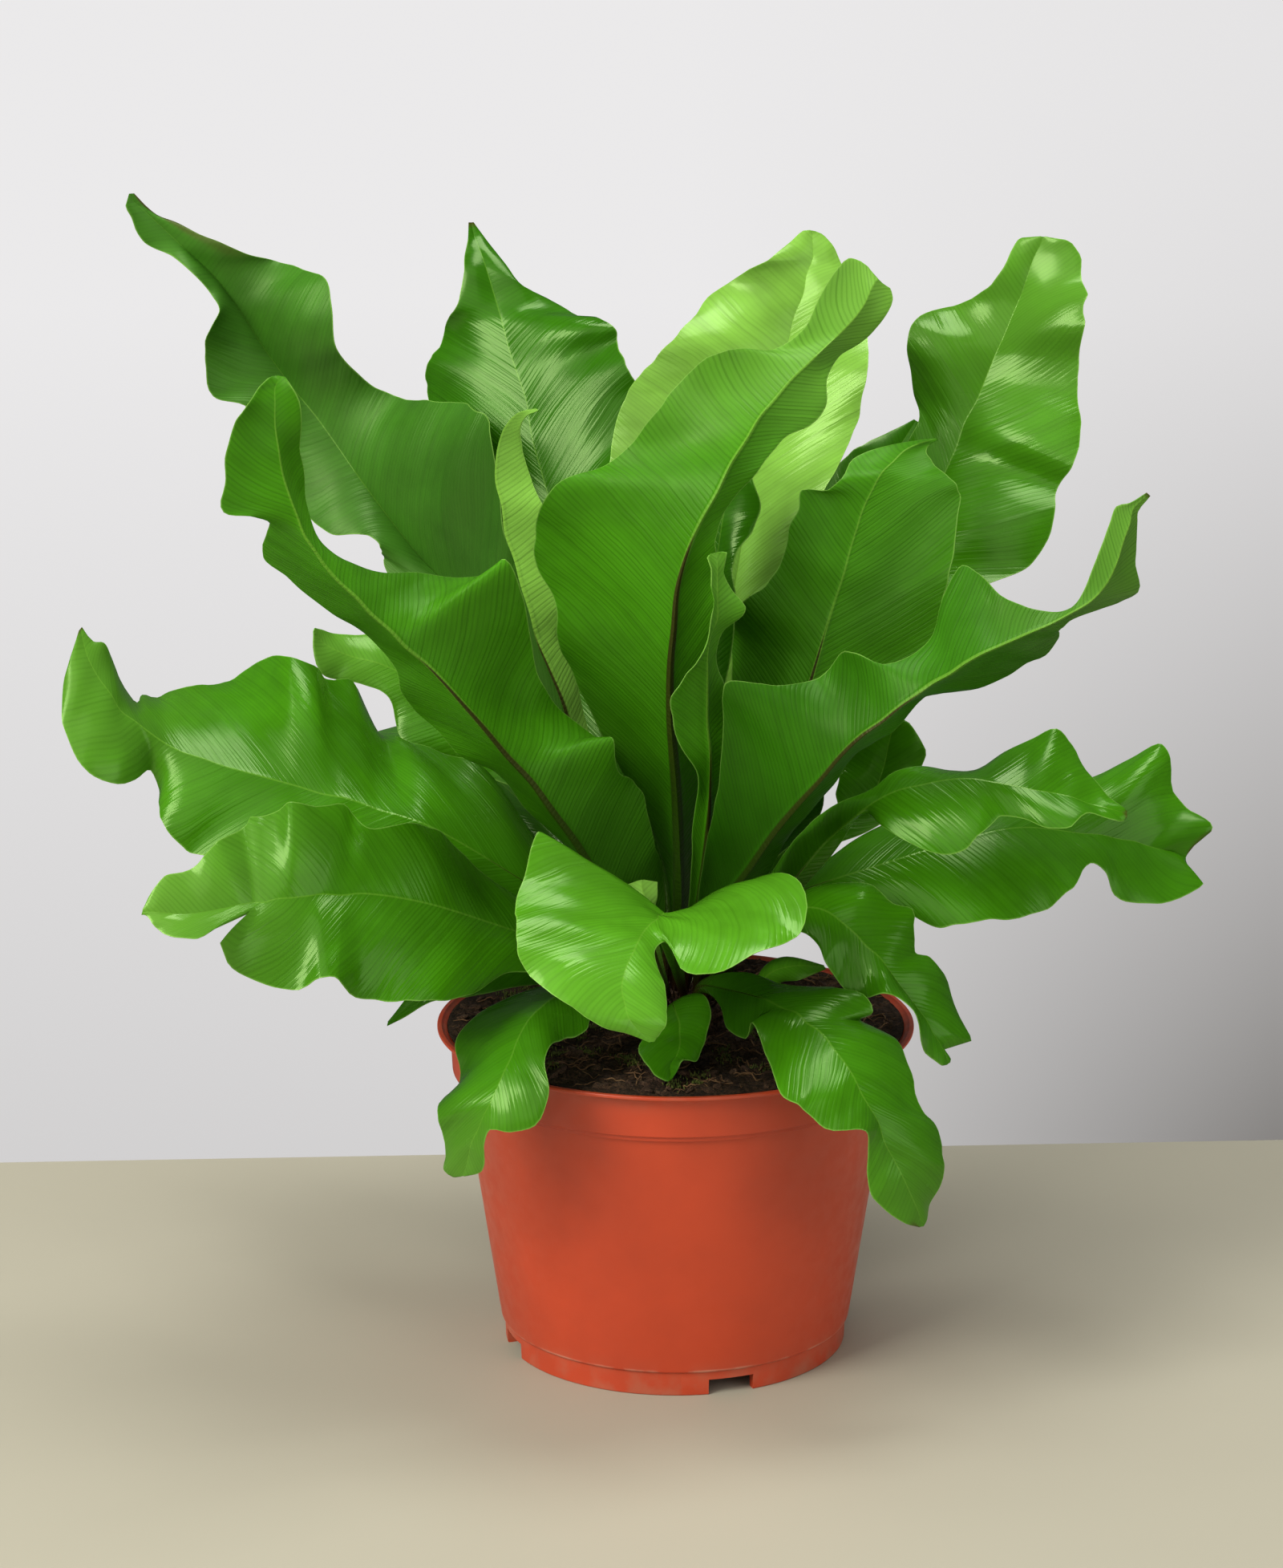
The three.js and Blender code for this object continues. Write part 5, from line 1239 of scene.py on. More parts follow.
def leaf_colour(tree, settings, tone, face, place, share, veins):
    """The blade's green under its veins, a pale tip that is partly painted highlight, a painted highlight
    along the margin, its midrib and stalk, painted shade towards the base, and dried parts.
    """
    fresh = shade(getattr(settings, f"{tone}_green"), face["fresh"])
    deep = shade(fresh, DEEP)
    rib = {"Leaf place": place, "Share": share}
    green = tree.group("Midrib", {**rib, "Half width": face["rib_half"], "Least": 0.0002})["Mask"]
    brown_half = tree.times(tree.mark("Rib width"), face["brown_half"])
    brown_rib = {"Half width": brown_half, "Least": 0.0001, "End": face["brown_end"]}
    brown = tree.group("Midrib", {**rib, **brown_rib})["Mask"]
    return tree.layered(deep, (
        (tree.times(tree.mottle(26.0), MOTTLE_COVER), fresh),
        (tree.ramp(veins["Band"], 0.4, 0.7, 0.0, BAND_COVER), shade(deep, BAND_SHADE)),
        # pale tip: the young tip's own green, and on some leaves a painted highlight
        (tree.mark("Tip paleness"), settings.young_and_highlit_tip_colour),
        (tree.times(veins["Ridge"], face["vein_line"]), shade(deep, VEIN_SHADE)),
        # painted highlight: a pale line where light catches the margin
        (tree.times(tree.mark("Margin"), MARGIN_HIGHLIGHT_COVER), settings.margin_highlight_colour),
        (tree.times(green, face["rib_line"]), settings.rib_colour),
        (tree.times(brown, BROWN_COVER), settings.stalk_colour),
        # painted shade: darker green towards the leaf's base, where the rosette shades it
        (tree.ramp(share, *PAINTED_BASE_SHADE_STRETCH, 0.0, PAINTED_BASE_SHADE_COVER), shade(deep, PAINTED_BASE_SHADE)),
        (tree.times(tree.mark("Stalk"), tree.ramp(share, *STALK_STRETCH)), settings.stalk_colour),
        (tree.times(tree.mark("Dryness"), DRY_COVER), settings.dry_colour),
    ))


def pot_material(settings):
    """Moulded terracotta-coloured plastic with faint cloudiness, scuffs and soil dust."""
    material, tree, shader = new_material("Pot plastic")
    place = tree.object_place()
    height = tree.parts(place)["Z"]
    patch = tree.mottle(95.0, -0.2, 1.0)
    near_foot = tree.ramp(height, *FOOT_DUST)
    near_lip = tree.ramp(height, *LIP_DUST)
    dust = tree.times(tree.math("ADD", near_foot, near_lip), patch, DUST_COVER)
    from_edge = tree.math("ABSOLUTE", tree.math("SUBTRACT", height, FOOT_TOP * MM))
    scuff = tree.times(tree.ramp(from_edge, *SCUFF_REACH), patch, SCUFF_COVER)
    grain = tree.times(tree.noise(place, 900.0, 3.0), 0.12)
    relief = tree.math("ADD", grain, tree.noise(place, 60.0, 2.0))
    tree.fill(shader, {
        "Base Color": tree.layered(shade(settings.colour, 0.84), (
            (tree.mottle(22.0), settings.colour),
            (tree.math("MAXIMUM", dust, 0.0), settings.dust_colour),
            (tree.math("MAXIMUM", scuff, 0.0), settings.scuff_colour),
        )),
        "Roughness": tree.mottle(160.0, settings.roughness - 0.05, settings.roughness + 0.1),
        "Normal": bump(tree, relief, 0.0002, 0.5),
    })
    return material


def crumbly_material(name, dark, pale):
    """Soil, bark, fibre, moss and crown: grit in two colours."""
    scale, depth, roughness = GRIT[name]
    material, tree, shader = new_material(name)
    grit = tree.group("Grit", {"Place": tree.object_place(), "Scale": scale})
    patch = tree.ramp(tree.mottle(scale * 0.2), 0.0, 1.0, 0.3, 1.0)
    tree.fill(shader, {
        "Base Color": tree.mix(tree.times(grit["Mask"], patch), dark, pale),
        "Roughness": roughness,
        "Normal": bump(tree, grit["Height"], depth),
        "Specular IOR Level": 0.25,
    })
    return material


def table_material(settings):
    """The plain table top with a faint unevenness."""
    material, tree, shader = new_material("Table")
    colour = tree.mix(tree.mottle(3.0), shade(settings.table_colour, 0.97), settings.table_colour)
    tree.fill(shader, {"Base Color": colour, "Roughness": 0.55})
    return material


# Mesh helpers

def on_circle(radius, angle):
    """A point at a distance and an angle from the Z axis."""
    return radius * math.cos(angle), radius * math.sin(angle)


def level_ring(radius, z, sides):
    """Points of a level ring about the Z axis, in metres, from a radius and a height in millimetres."""
    return [(*on_circle(radius * MM, 2 * math.pi * k / sides), z * MM) for k in range(sides)]


def ring_band(low, high, sides):
    """Four-sided faces between two rings, each given by the number of its first point."""
    return [(low + k, low + (k + 1) % sides, high + (k + 1) % sides, high + k) for k in range(sides)]


def put_in_scene(name, data, materials=()):
    """Links a mesh, a lamp or a camera as an object."""
    obj = bpy.data.objects.new(name, data)
    bpy.context.scene.collection.objects.link(obj)
    for material in materials:
        data.materials.append(material)
    return obj


def finish_piece(obj, node=None):
    """Says what a piece rides on, and hides the plain part that it stands in for."""
    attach(obj, BODY)
    if node:
        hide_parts(node)
    return obj


def mesh_from(name, vertices, faces, smooth=True):
    mesh = bpy.data.meshes.new(name)
    mesh.from_pydata([tuple(v) for v in vertices], [], [tuple(f) for f in faces])
    mesh.polygons.foreach_set("use_smooth", [smooth] * len(mesh.polygons))
    return mesh


def mesh_of(body, name):
    """The mesh of a finished bmesh."""
    mesh = bpy.data.meshes.new(name)
    body.to_mesh(mesh)
    body.free()
    return mesh


def add_piece(name, vertices, faces, material, node=None, smooth=True):
    """A piece of the plant from its points and faces."""
    piece = put_in_scene(name, mesh_from(name, vertices, faces, smooth), [material])
    return finish_piece(piece, node)


def block_mesh(name, size, place, turn):
    """A block of a size, moved from the origin and then turned about the Z axis."""
    body = bmesh.new()
    bmesh.ops.create_cube(body, size=1.0)
    moved = Matrix.Translation(place) @ Matrix.Diagonal((*size, 1.0))
    body.transform(Matrix.Rotation(turn, 4, "Z") @ moved)
    return mesh_of(body, name)


def turned_mesh(name, profile, sides):
    """A profile of (radius, height) in millimetres turned about the Z axis, closed on the axis."""
    body = bmesh.new()
    rings = []
    for radius, height in profile:
        points = level_ring(radius, height, sides if radius else 1)
        rings.append([body.verts.new(point) for point in points])
    for low, high in zip(rings, rings[1:]):
        for k in range(sides):
            after = k + 1
            corners = [low[k % len(low)], low[after % len(low)], high[after % len(high)], high[k % len(high)]]
            corners = list(dict.fromkeys(corners))
            if len(corners) > 2:
                body.faces.new(corners)
    bmesh.ops.recalc_face_normals(body, faces=body.faces)
    return mesh_of(body, name)


def cut_away(obj, cutters):
    """Cuts the cutters' shapes out of an object and removes them."""
    for cutter in cutters:
        modifier = obj.modifiers.new("Cut", "BOOLEAN")
        modifier.operation = "DIFFERENCE"
        modifier.solver = "EXACT"
        modifier.object = cutter
    graph = bpy.context.evaluated_depsgraph_get()
    mesh = bpy.data.meshes.new_from_object(obj.evaluated_get(graph))
    obj.modifiers.clear()
    obj.data = mesh
    for cutter in cutters:
        spare = cutter.data
        bpy.data.objects.remove(cutter)
        bpy.data.meshes.remove(spare)


def sharp_past(obj, degrees):
    """Smooth faces that keep each edge sharper than the angle."""
    obj.data.polygons.foreach_set("use_smooth", [True] * len(obj.data.polygons))
    obj.data.set_sharp_from_angle(angle=math.radians(degrees))


def ring_cutter(near, far, arc_deg, low, high, azimuth_deg):
    """A wedge of a ring for cutting, in millimetres and degrees."""
    steps = 14
    angles = [math.radians(azimuth_deg - arc_deg / 2 + arc_deg * k / steps) for k in range(steps + 1)]
    vertices = [
        (*on_circle(radius * MM, angle), z * MM)
        for angle in angles for radius in (near, far) for z in (low, high)
    ]
    faces = [(0, 1, 3, 2), tuple(4 * steps + k for k in (0, 2, 3, 1))]
    walls = ((0, 2), (2, 3), (3, 1), (1, 0))
    for base in range(0, 4 * steps, 4):
        faces += [(base + p, base + q, base + 4 + q, base + 4 + p) for p, q in walls]
    return put_in_scene("cutter", mesh_from("cutter", vertices, faces, smooth=False))


def slot_cutter(near, far, width, height, azimuth_deg):
    """A plain block for cutting a slot through the foot."""
    size = ((far - near) * MM, width * MM, (height + 1) * MM)
    place = ((far + near) / 2 * MM, 0.0, (height - 1) / 2 * MM)
    return put_in_scene("cutter", block_mesh("cutter", size, place, math.radians(azimuth_deg)))


# Pot

def rounded(profile, corner, cuts=3):
    """A profile whose listed corners are rounded by the given radius in millimetres."""
    points = [Vector(p) for p in profile]
    made = []
    for k, point in enumerate(points):
        radius = corner.get(k, 0.0)
        if not radius:
            made.append(tuple(point))
            continue
        back = (points[k - 1] - point).normalized() * radius
        ahead = (points[k + 1] - point).normalized() * radius
        for step in range(cuts + 1):
            w = step / cuts
            made.append(tuple(point + back * (1 - w) ** 2 + ahead * w ** 2))
    return made


def pot_profile():
    """The pot's section from the middle of its inside floor, over the lip, to the foot pad."""
    under = POT_HEIGHT - LIP_THICKNESS
    inner = COLLAR_RADIUS - WALL
    profile = [
        (0.0, FLOOR_TOP),
        (WALL_BOTTOM_RADIUS - WALL, FLOOR_TOP),
        (WALL_TOP_RADIUS - WALL, STEP_BOTTOM - 1.5),
        (inner, COLLAR_BOTTOM + 1.0),
        (inner + 0.2, under - 1.0),
        (RIM_RADIUS - LIP_WIDTH - 0.5, POT_HEIGHT - 0.5),
        (RIM_RADIUS - LIP_WIDTH, POT_HEIGHT),
        (RIM_RADIUS, POT_HEIGHT),
        (RIM_RADIUS, under),
        (RIM_RADIUS - 2.0, under - 0.5),
        (COLLAR_RADIUS + 0.2, under - 1.3),
        (COLLAR_RADIUS - 0.4, COLLAR_BOTTOM),
        (STEP_RADIUS, COLLAR_BOTTOM - 0.1),
        (STEP_RADIUS, STEP_BOTTOM),
        (WALL_TOP_RADIUS, STEP_BOTTOM - 0.1),
        (WALL_BOTTOM_RADIUS, FOOT_TOP),
        (FOOT_RADIUS + 0.3, FOOT_TOP - 0.6),
        (FOOT_RADIUS, 0.0),
        (FOOT_RADIUS - 3.2, 0.0),
        (FOOT_RADIUS - 3.6, FLOOR_UNDERSIDE),
        (CENTRE_PAD_RADIUS + 0.6, FLOOR_UNDERSIDE),
        (CENTRE_PAD_RADIUS, 0.0),
        (0.0, 0.0),
    ]
    return rounded(profile, POT_CORNERS)


def make_pot(settings):
    """The nursery pot with its flared lip, stepped collar and notched foot."""
    pot = put_in_scene("pot_shell", turned_mesh("pot_shell", pot_profile(), settings.sides))
    near, far = FOOT_RADIUS - RECESS_DEPTH, FOOT_RADIUS + 4
    cutters = []
    for k in range(RECESSES):
        azimuth = RECESS_FIRST_DEG + 360.0 * k / RECESSES
        cutters.append(ring_cutter(near, far, RECESS_ARC_DEG, -1.0, RECESS_HEIGHT, azimuth))
        cutters.append(slot_cutter(FOOT_RADIUS - 8, far, SLOT_WIDTH, SLOT_HEIGHT, azimuth))
    cut_away(pot, cutters)
    pot.data.materials.append(pot_material(settings))
    sharp_past(pot, 40)
    return finish_piece(pot, "pot")


# Soil and what lies on it

def soil_height(x, y):
    """Height of the soil's surface in millimetres."""
    radius = math.hypot(x, y)
    dip = math.cos(min(1.0, radius / SOIL_BRIM_RADIUS) * math.pi / 2)
    broad = math.sin(x * 0.17 + 1.3) * math.cos(y * 0.14 - 0.6)
    fine = math.sin(x * 0.41 - y * 0.23) * math.cos(y * 0.47 + x * 0.11 + 0.9)
    hold = min(1.0, max(0.0, (SOIL_BRIM_RADIUS - radius) / 6.0))
    return SOIL_BRIM_Z - SOIL_DIP * dip + SOIL_LUMP * (0.6 * broad + 0.4 * fine) * hold


def ground(x, y):
    """Height of the soil with its small clods, in millimetres; they are lower at the lip."""
    bumps = sum(
        height * noise.noise(Vector((x * close, y * close, start)))
        for close, height, start in SOIL_BUMPS
    )
    hold = min(1.0, 0.3 + (SOIL_BRIM_RADIUS - math.hypot(x, y)) / 4.0)
    return soil_height(x, y) + bumps * hold


def make_soil(settings):
    """The filled pot's soil: a lumpy surface over a plain body."""
    rings, sides = 90, 260
    vertices, faces = [], []
    for i in range(rings + 1):
        radius = SOIL_BRIM_RADIUS * (1.0 - i / rings)
        for k in range(sides):
            x, y = on_circle(radius, 2 * math.pi * k / sides)
            vertices.append((x * MM, y * MM, ground(x, y) * MM))
    for i in range(rings):
        faces += ring_band(i * sides, (i + 1) * sides, sides)
    walls = (
        (SOIL_EDGE, SOIL_BRIM_Z - SOIL_FLARE),
        (SOIL_EDGE, COLLAR_BOTTOM + 1.4),
        (WALL_TOP_RADIUS - WALL - SOIL_GAP, STEP_BOTTOM - 1.5),
        (WALL_BOTTOM_RADIUS - WALL - SOIL_GAP, FLOOR_TOP + SOIL_GAP),
    )
    before = 0
    for radius, z in walls:
        start = len(vertices)
        vertices += level_ring(radius, z, sides)
        faces += ring_band(start, before, sides)
        before = start
    faces.append(range(before + sides - 1, before - 1, -1))
    material = crumbly_material("Potting soil", settings.dark, settings.pale)
    return add_piece("soil_surface", vertices, faces, material, "soil")


def soil_spot(draw, near=17.0, far=71.0):
    """A random spot on the soil, outside the crown."""
    radius = math.sqrt(draw.uniform(near ** 2, far ** 2))
    x, y = on_circle(radius, draw.uniform(0.0, 2 * math.pi))
    return Vector((x, y, ground(x, y)))


def chip_points(draw, size):
    """One bark chip: a squashed, twisted block with broken corners."""
    length, width, height = size, size * draw.uniform(0.35, 0.7), size * draw.uniform(0.18, 0.35)
    corners = []
    for x in (-1, -0.3, 0.4, 1):
        for y, z in ((-1, -1), (1, -1), (1, 1), (-1, 1)):
            pinch = 0.55 if abs(x) == 1 else 1.0
            corners.append(Vector((
                x * length / 2 * draw.uniform(0.8, 1.1),
                y * width / 2 * pinch * draw.uniform(0.7, 1.15),
                z * height / 2 * pinch * draw.uniform(0.7, 1.15),
            )))
    return corners


CHIP_FACES = [(0, 3, 2, 1), (12, 13, 14, 15), *ring_band(0, 4, 4), *ring_band(4, 8, 4), *ring_band(8, 12, 4)]


def make_chips(settings):
    """Bark chips and clods lying on the soil."""
    draw = random.Random(settings.seed)
    vertices, faces = [], []
    for _ in range(settings.chips):
        spot = soil_spot(draw)
        size = draw.uniform(*CHIP_SIZE) * draw.uniform(0.5, 1.0)
        turn = Matrix.Rotation(draw.uniform(0, 2 * math.pi), 3, "Z")
        roll = Matrix.Rotation(draw.uniform(-0.5, 0.5), 3, "X")
        tip = roll @ Matrix.Rotation(draw.uniform(-0.4, 0.4), 3, "Y")
        start = len(vertices)
        for corner in chip_points(draw, size):
            vertices.append((turn @ tip @ corner + spot + Vector((0, 0, size * 0.06))) * MM)
        faces += [[start + k for k in face] for face in CHIP_FACES]
    material = crumbly_material("Bark chips", settings.bark_dark, settings.bark_pale)
    return add_piece("bark_chips", vertices, faces, material, smooth=False)


def strand(vertices, faces, points, radius):
    """Adds a thin four-sided strand along the points, pointed at both ends."""
    start, last = len(vertices), len(points) - 1
    for k, point in enumerate(points):
        ahead = (points[min(k + 1, last)] - points[max(k - 1, 0)]).normalized()
        side = ahead.orthogonal().normalized()
        up = ahead.cross(side)
        thick = radius * (0.25 if k in (0, last) else 1.0)
        for a, b in ((1, 0), (0, 1), (-1, 0), (0, -1)):
            vertices.append((point + side * a * thick + up * b * thick) * MM)
    for base in range(start, start + 4 * last, 4):
        faces += ring_band(base, base + 4, 4)
    faces.append(range(start + 3, start - 1, -1))
    faces.append(range(start + 4 * last, start + 4 * last + 4))


def make_fibres(settings):
    """Tan and brown fibres that lie and curl on the soil."""
    draw = random.Random(settings.seed + 1)
    vertices, faces = [], []
    for _ in range(settings.fibres):
        spot = soil_spot(draw)
        heading = draw.uniform(0, 2 * math.pi)
        points = []
        for _ in range(FIBRE_STEPS):
            points.append(Vector((spot.x, spot.y, ground(spot.x, spot.y) + draw.uniform(*FIBRE_LIFT))))
            heading += draw.uniform(-0.5, 0.5)
            spot = spot + Vector((*on_circle(1.0, heading), 0.0)) * draw.uniform(*FIBRE_STEP)
            if math.hypot(spot.x, spot.y) > SOIL_BRIM_RADIUS - 0.8:
                break
        if len(points) > 2:
            strand(vertices, faces, points, draw.uniform(*FIBRE_HALF))
    material = crumbly_material("Fibres", settings.fibre_dark, settings.fibre_pale)
    return add_piece("soil_fibres", vertices, faces, material)


def make_moss(settings):
    """Small cushions of moss made of short upright shoots."""
    draw = random.Random(settings.seed + 2)
    vertices, faces = [], []
    for _ in range(settings.moss_patches):
        middle = soil_spot(draw, 24.0, 66.0)
        spread = draw.uniform(*MOSS_SPREAD)
        for _ in range(int(spread * MOSS_CROWDING)):
            x = middle.x + draw.gauss(0, spread * 0.5)
            y = middle.y + draw.gauss(0, spread * 0.5)
            if math.hypot(x, y) > SOIL_BRIM_RADIUS - 1.0:
                continue
            foot = Vector((x, y, ground(x, y) - 0.2))
            lean = Vector((draw.uniform(-0.4, 0.4), draw.uniform(-0.4, 0.4), 1.0))
            lean *= draw.uniform(*MOSS_HEIGHT)
            strand(vertices, faces, [foot, foot + lean * 0.55, foot + lean], draw.uniform(*MOSS_HALF))
    material = crumbly_material("Moss", settings.moss_dark, settings.moss_pale)
    return add_piece("moss", vertices, faces, material)


# Crown

def make_crown(settings):
    """The scaly crown that the stalks stand in, with the dried stubs of old stalks."""
    rings, sides = 26, 90
    draw = random.Random(settings.seed)
    vertices, faces = [(0.0, 0.0, CROWN_TOP_Z * MM)], []
    for i in range(1, rings + 1):
        along = i / rings
        radius = CROWN_RADIUS * min(1.0, along * CROWN_DOME_GROWTH)
        down = (along - CROWN_DOME_SHARE) / (1.0 - CROWN_DOME_SHARE) * CROWN_FLANK_DEPTH
        z = crown_height(radius) if down < 0.0 else CROWN_SHOULDER_Z - down
        for k in range(sides):
            x, y = on_circle(1.0, 2 * math.pi * k / sides)
            place = [part * CROWN_ROUGH_CLOSE for part in (x * radius, y * radius, z)]
            rough = noise.noise(Vector(place))
            swell = radius + CROWN_ROUGH * rough
            vertices.append((x * swell * MM, y * swell * MM, (z + CROWN_ROUGH_UP * rough) * MM))
    for k in range(sides):
        after = (k + 1) % sides
        faces.append((0, 1 + k, 1 + after))
        for low in range(1, (rings - 1) * sides, sides):
            high = low + sides
            faces.append((low + k, high + k, high + after, low + after))
    faces.append(range(1 + (rings - 1) * sides, 1 + rings * sides))
    for _ in range(settings.scales):
        add_scale(vertices, faces, draw)
    add_stubs(vertices, faces)
    material = crumbly_material("Crown", settings.crown_dark, settings.crown_pale)
    return add_piece("crown_scales", vertices, faces, material, "crown")


def add_scale(vertices, faces, draw):
    """Adds one hairy scale that leans outwards."""
    angle = draw.uniform(0, 2 * math.pi)
    radius = CROWN_RADIUS * math.sqrt(draw.uniform(0.02, 1.0))
    foot = Vector((*on_circle(radius, angle), crown_height(radius) - 0.5))
    out = Vector((*on_circle(1.0, angle), 0.0)) * radius / CROWN_RADIUS * 1.1
    lean = (out + Vector((draw.uniform(-0.4, 0.4), draw.uniform(-0.4, 0.4), 0.9))).normalized()
    lean *= draw.uniform(*SCALE_LENGTH)
    strand(vertices, faces, [foot, foot + lean * 0.5, foot + lean], draw.uniform(*SCALE_HALF))


def add_stubs(vertices, faces):
    """Adds the dried stubs of old stalks round the crown's flank."""
    sides, rings = 12, 5
    _, seats, first = SEAT_RINGS["outer"]
    tilt = math.radians(STUB_LEAN_DEG)
    for number in range(STUBS):
        angle = math.radians(first + 360.0 / seats * (2 * number + 0.5))
        length = STUB_LENGTH * (0.8 + 0.2 * math.sin(number * 2.4))
        out = Vector((*on_circle(1.0, angle), 0.0))
        ahead = (out * math.sin(tilt) + Vector((0, 0, math.cos(tilt)))).normalized()
        side = ahead.cross(out).normalized()
        up = side.cross(ahead)
        foot = out * (CROWN_RADIUS - STUB_DEEP) + Vector((0, 0, STUB_FOOT_Z))
        start = len(vertices)
        for i in range(rings + 1):
            w = i / rings
            radius = STUB_RADIUS * (1.0 - 0.3 * w)
            for k in range(sides):
                turn = 2 * math.pi * k / sides
                ragged = 0.7 * math.sin(5 * turn + number) if i == rings else 0.0
                grooved = radius * (1.0 + 0.08 * math.cos(6 * turn))
                spot = foot + ahead * (length * w + ragged)
                vertices.append((spot + side * math.cos(turn) * grooved + up * math.sin(turn) * grooved) * MM)
        for i in range(rings):
            faces += ring_band(start + i * sides, start + (i + 1) * sides, sides)
        faces.append(range(start + sides - 1, start - 1, -1))
        faces.append(range(start + rings * sides, start + (rings + 1) * sides))


# Fronds

def make_fronds(settings):
    """Every frond of the rosette and the small one beside it."""
    materials = {
        tone: [leaf_material(settings, tone, side) for side in FACES]
        for tone in ("dark", "mid", "light", "pale", "dull")
    }
    for number, (name, (seat, tone, rows)) in enumerate(FRONDS.items()):
        x, y, radius = seat_place(seat)
        root = (x, y, SOCKET_FLOOR_Z + SEAT_GAP)
        top = (x, y, crown_height(radius) + STALK_OVER_CROWN)
        add_frond(name, Blade(root, top, rows, number), materials[LOOKS.get(name, tone)])
    top = (*SIDE_FROND_ROOT[:2], SOIL_BRIM_Z + STALK_OVER_SOIL)
    add_frond("side", Blade(SIDE_FROND_ROOT, top, SIDE_FROND, 0), materials["light"])


def add_frond(name, blade, materials):
    """One frond in place of its plain solid."""
    leaf = put_in_scene(f"leaf_{name}", frond_mesh(name, blade), materials)
    return finish_piece(leaf, f"frond_{name}")


# Stage

def make_lamp(name, power):
    """A square soft lamp that looks at the plant."""
    place, size, colour = LAMPS[name]
    lamp = bpy.data.lights.new(name, "AREA")
    lamp.size = size
    lamp.energy = power
    lamp.color = colour
    obj = put_in_scene(name, lamp)
    obj.location = place
    obj.rotation_euler = (Vector(LAMP_TARGET) - obj.location).to_track_quat("-Z", "Y").to_euler()


def make_table(settings):
    """The pale table top, whose back edge is close behind the pot."""
    front, back, thick = settings.table_front, settings.table_back, 0.03
    size = (settings.table_width, front + back, thick)
    place = (0.0, (back - front) / 2, -thick / 2)
    mesh = block_mesh("table", size, place, settings.table_turn)
    table = put_in_scene("table", mesh, [table_material(settings)])


def make_world(settings):
    """A pale wall all round that the camera sees, with a painted shadow low down and to the right, and dimmer
    air that lights the plant.
    """
    world = bpy.data.worlds.new("Studio")
    bpy.context.scene.world = world
    world.use_nodes = True
    tree = Tree(world.node_tree)
    way = tree.parts(tree.add("ShaderNodeTexCoord").outputs["Generated"])
    low = tree.ramp(way["Z"], *WALL_LOW, smooth=False)
    right = tree.ramp(way["X"], *WALL_RIGHT, smooth=False)
    down = tree.math("POWER", tree.ramp(way["Z"], *WALL_DOWN, smooth=False), 1.5)
    corner = tree.times(right, tree.math("MULTIPLY_ADD", down, *CORNER_SHADOW))
    shadow = tree.math("ADD", low, corner)
    wall = world.node_tree.nodes["Background"]
    tree.fill(wall, {"Color": tree.mix(shadow, settings.wall_bright, settings.wall_shaded)})
    ray = tree.add("ShaderNodeLightPath").outputs
    dimming = settings.mirrored_strength - settings.air_strength
    strength = tree.math("MULTIPLY_ADD", ray["Is Glossy Ray"], dimming, settings.air_strength)
    air = tree.add("ShaderNodeBackground")
    tree.fill(air, {"Color": settings.wall_bright, "Strength": strength})
    both = tree.add("ShaderNodeMixShader")
    lit = tree.line_up(both, (ray["Is Camera Ray"], air.outputs[0], wall.outputs[0]))[0]
    tree.fill(world.node_tree.nodes["World Output"], {"Surface": lit})


def make_camera(settings):
    """The camera where the photographer stood."""
    camera = bpy.data.cameras.new("Camera")
    camera.sensor_width = 36.0
    camera.lens = settings.lens
    camera.clip_end = 50.0
    obj = put_in_scene("Camera", camera)
    obj.location = settings.camera_place
    obj.rotation_euler = (math.radians(90.0) - settings.camera_pitch, 0.0, 0.0)
    bpy.context.scene.camera = obj


def make_stage(settings):
    """Table, air, lamps and camera."""
    bpy.context.scene.view_settings.view_transform = "Standard"
    make_camera(settings)
    make_table(settings)
    make_world(settings)
    for name in LAMPS:
        make_lamp(name, getattr(settings, f"{name}_power"))


# Settings

def size_prop(name, text, value):
    return FloatProperty(name=name, description=text, default=value, min=0.0, unit="LENGTH", precision=5)


def share_prop(name, text, value):
    return FloatProperty(name=name, description=text, default=value, min=0.0, max=1.0)


def count_prop(name, text, value):
    return IntProperty(name=name, description=text, default=value, min=0)


def colour_prop(name, text, value):
    return FloatVectorProperty(name=name, description=text, default=value, min=0.0, max=1.0,
                               size=3, subtype="COLOR")


def angle_prop(name, text, degrees):
    return FloatProperty(name=name, description=text, default=math.radians(degrees), subtype="ANGLE")


def power_prop(name, text, value):
    return FloatProperty(name=name, description=text, default=value, min=0.0, unit="POWER")


class FernPotSettings(bpy.types.PropertyGroup):
    """Look of the pot."""
    colour: colour_prop("Colour", "Colour of the pot's plastic", (0.54, 0.054, 0.013))
    dust_colour: colour_prop("Dust", "Colour of the soil dust on the foot and lip", (0.32, 0.2, 0.12))
    scuff_colour: colour_prop("Scuffs", "Colour where the foot's edge is rubbed", (0.62, 0.3, 0.2))
    roughness: share_prop("Roughness", "How dull the plastic is", 0.42)
    sides: count_prop("Sides", "Sides of the turned pot", 240)


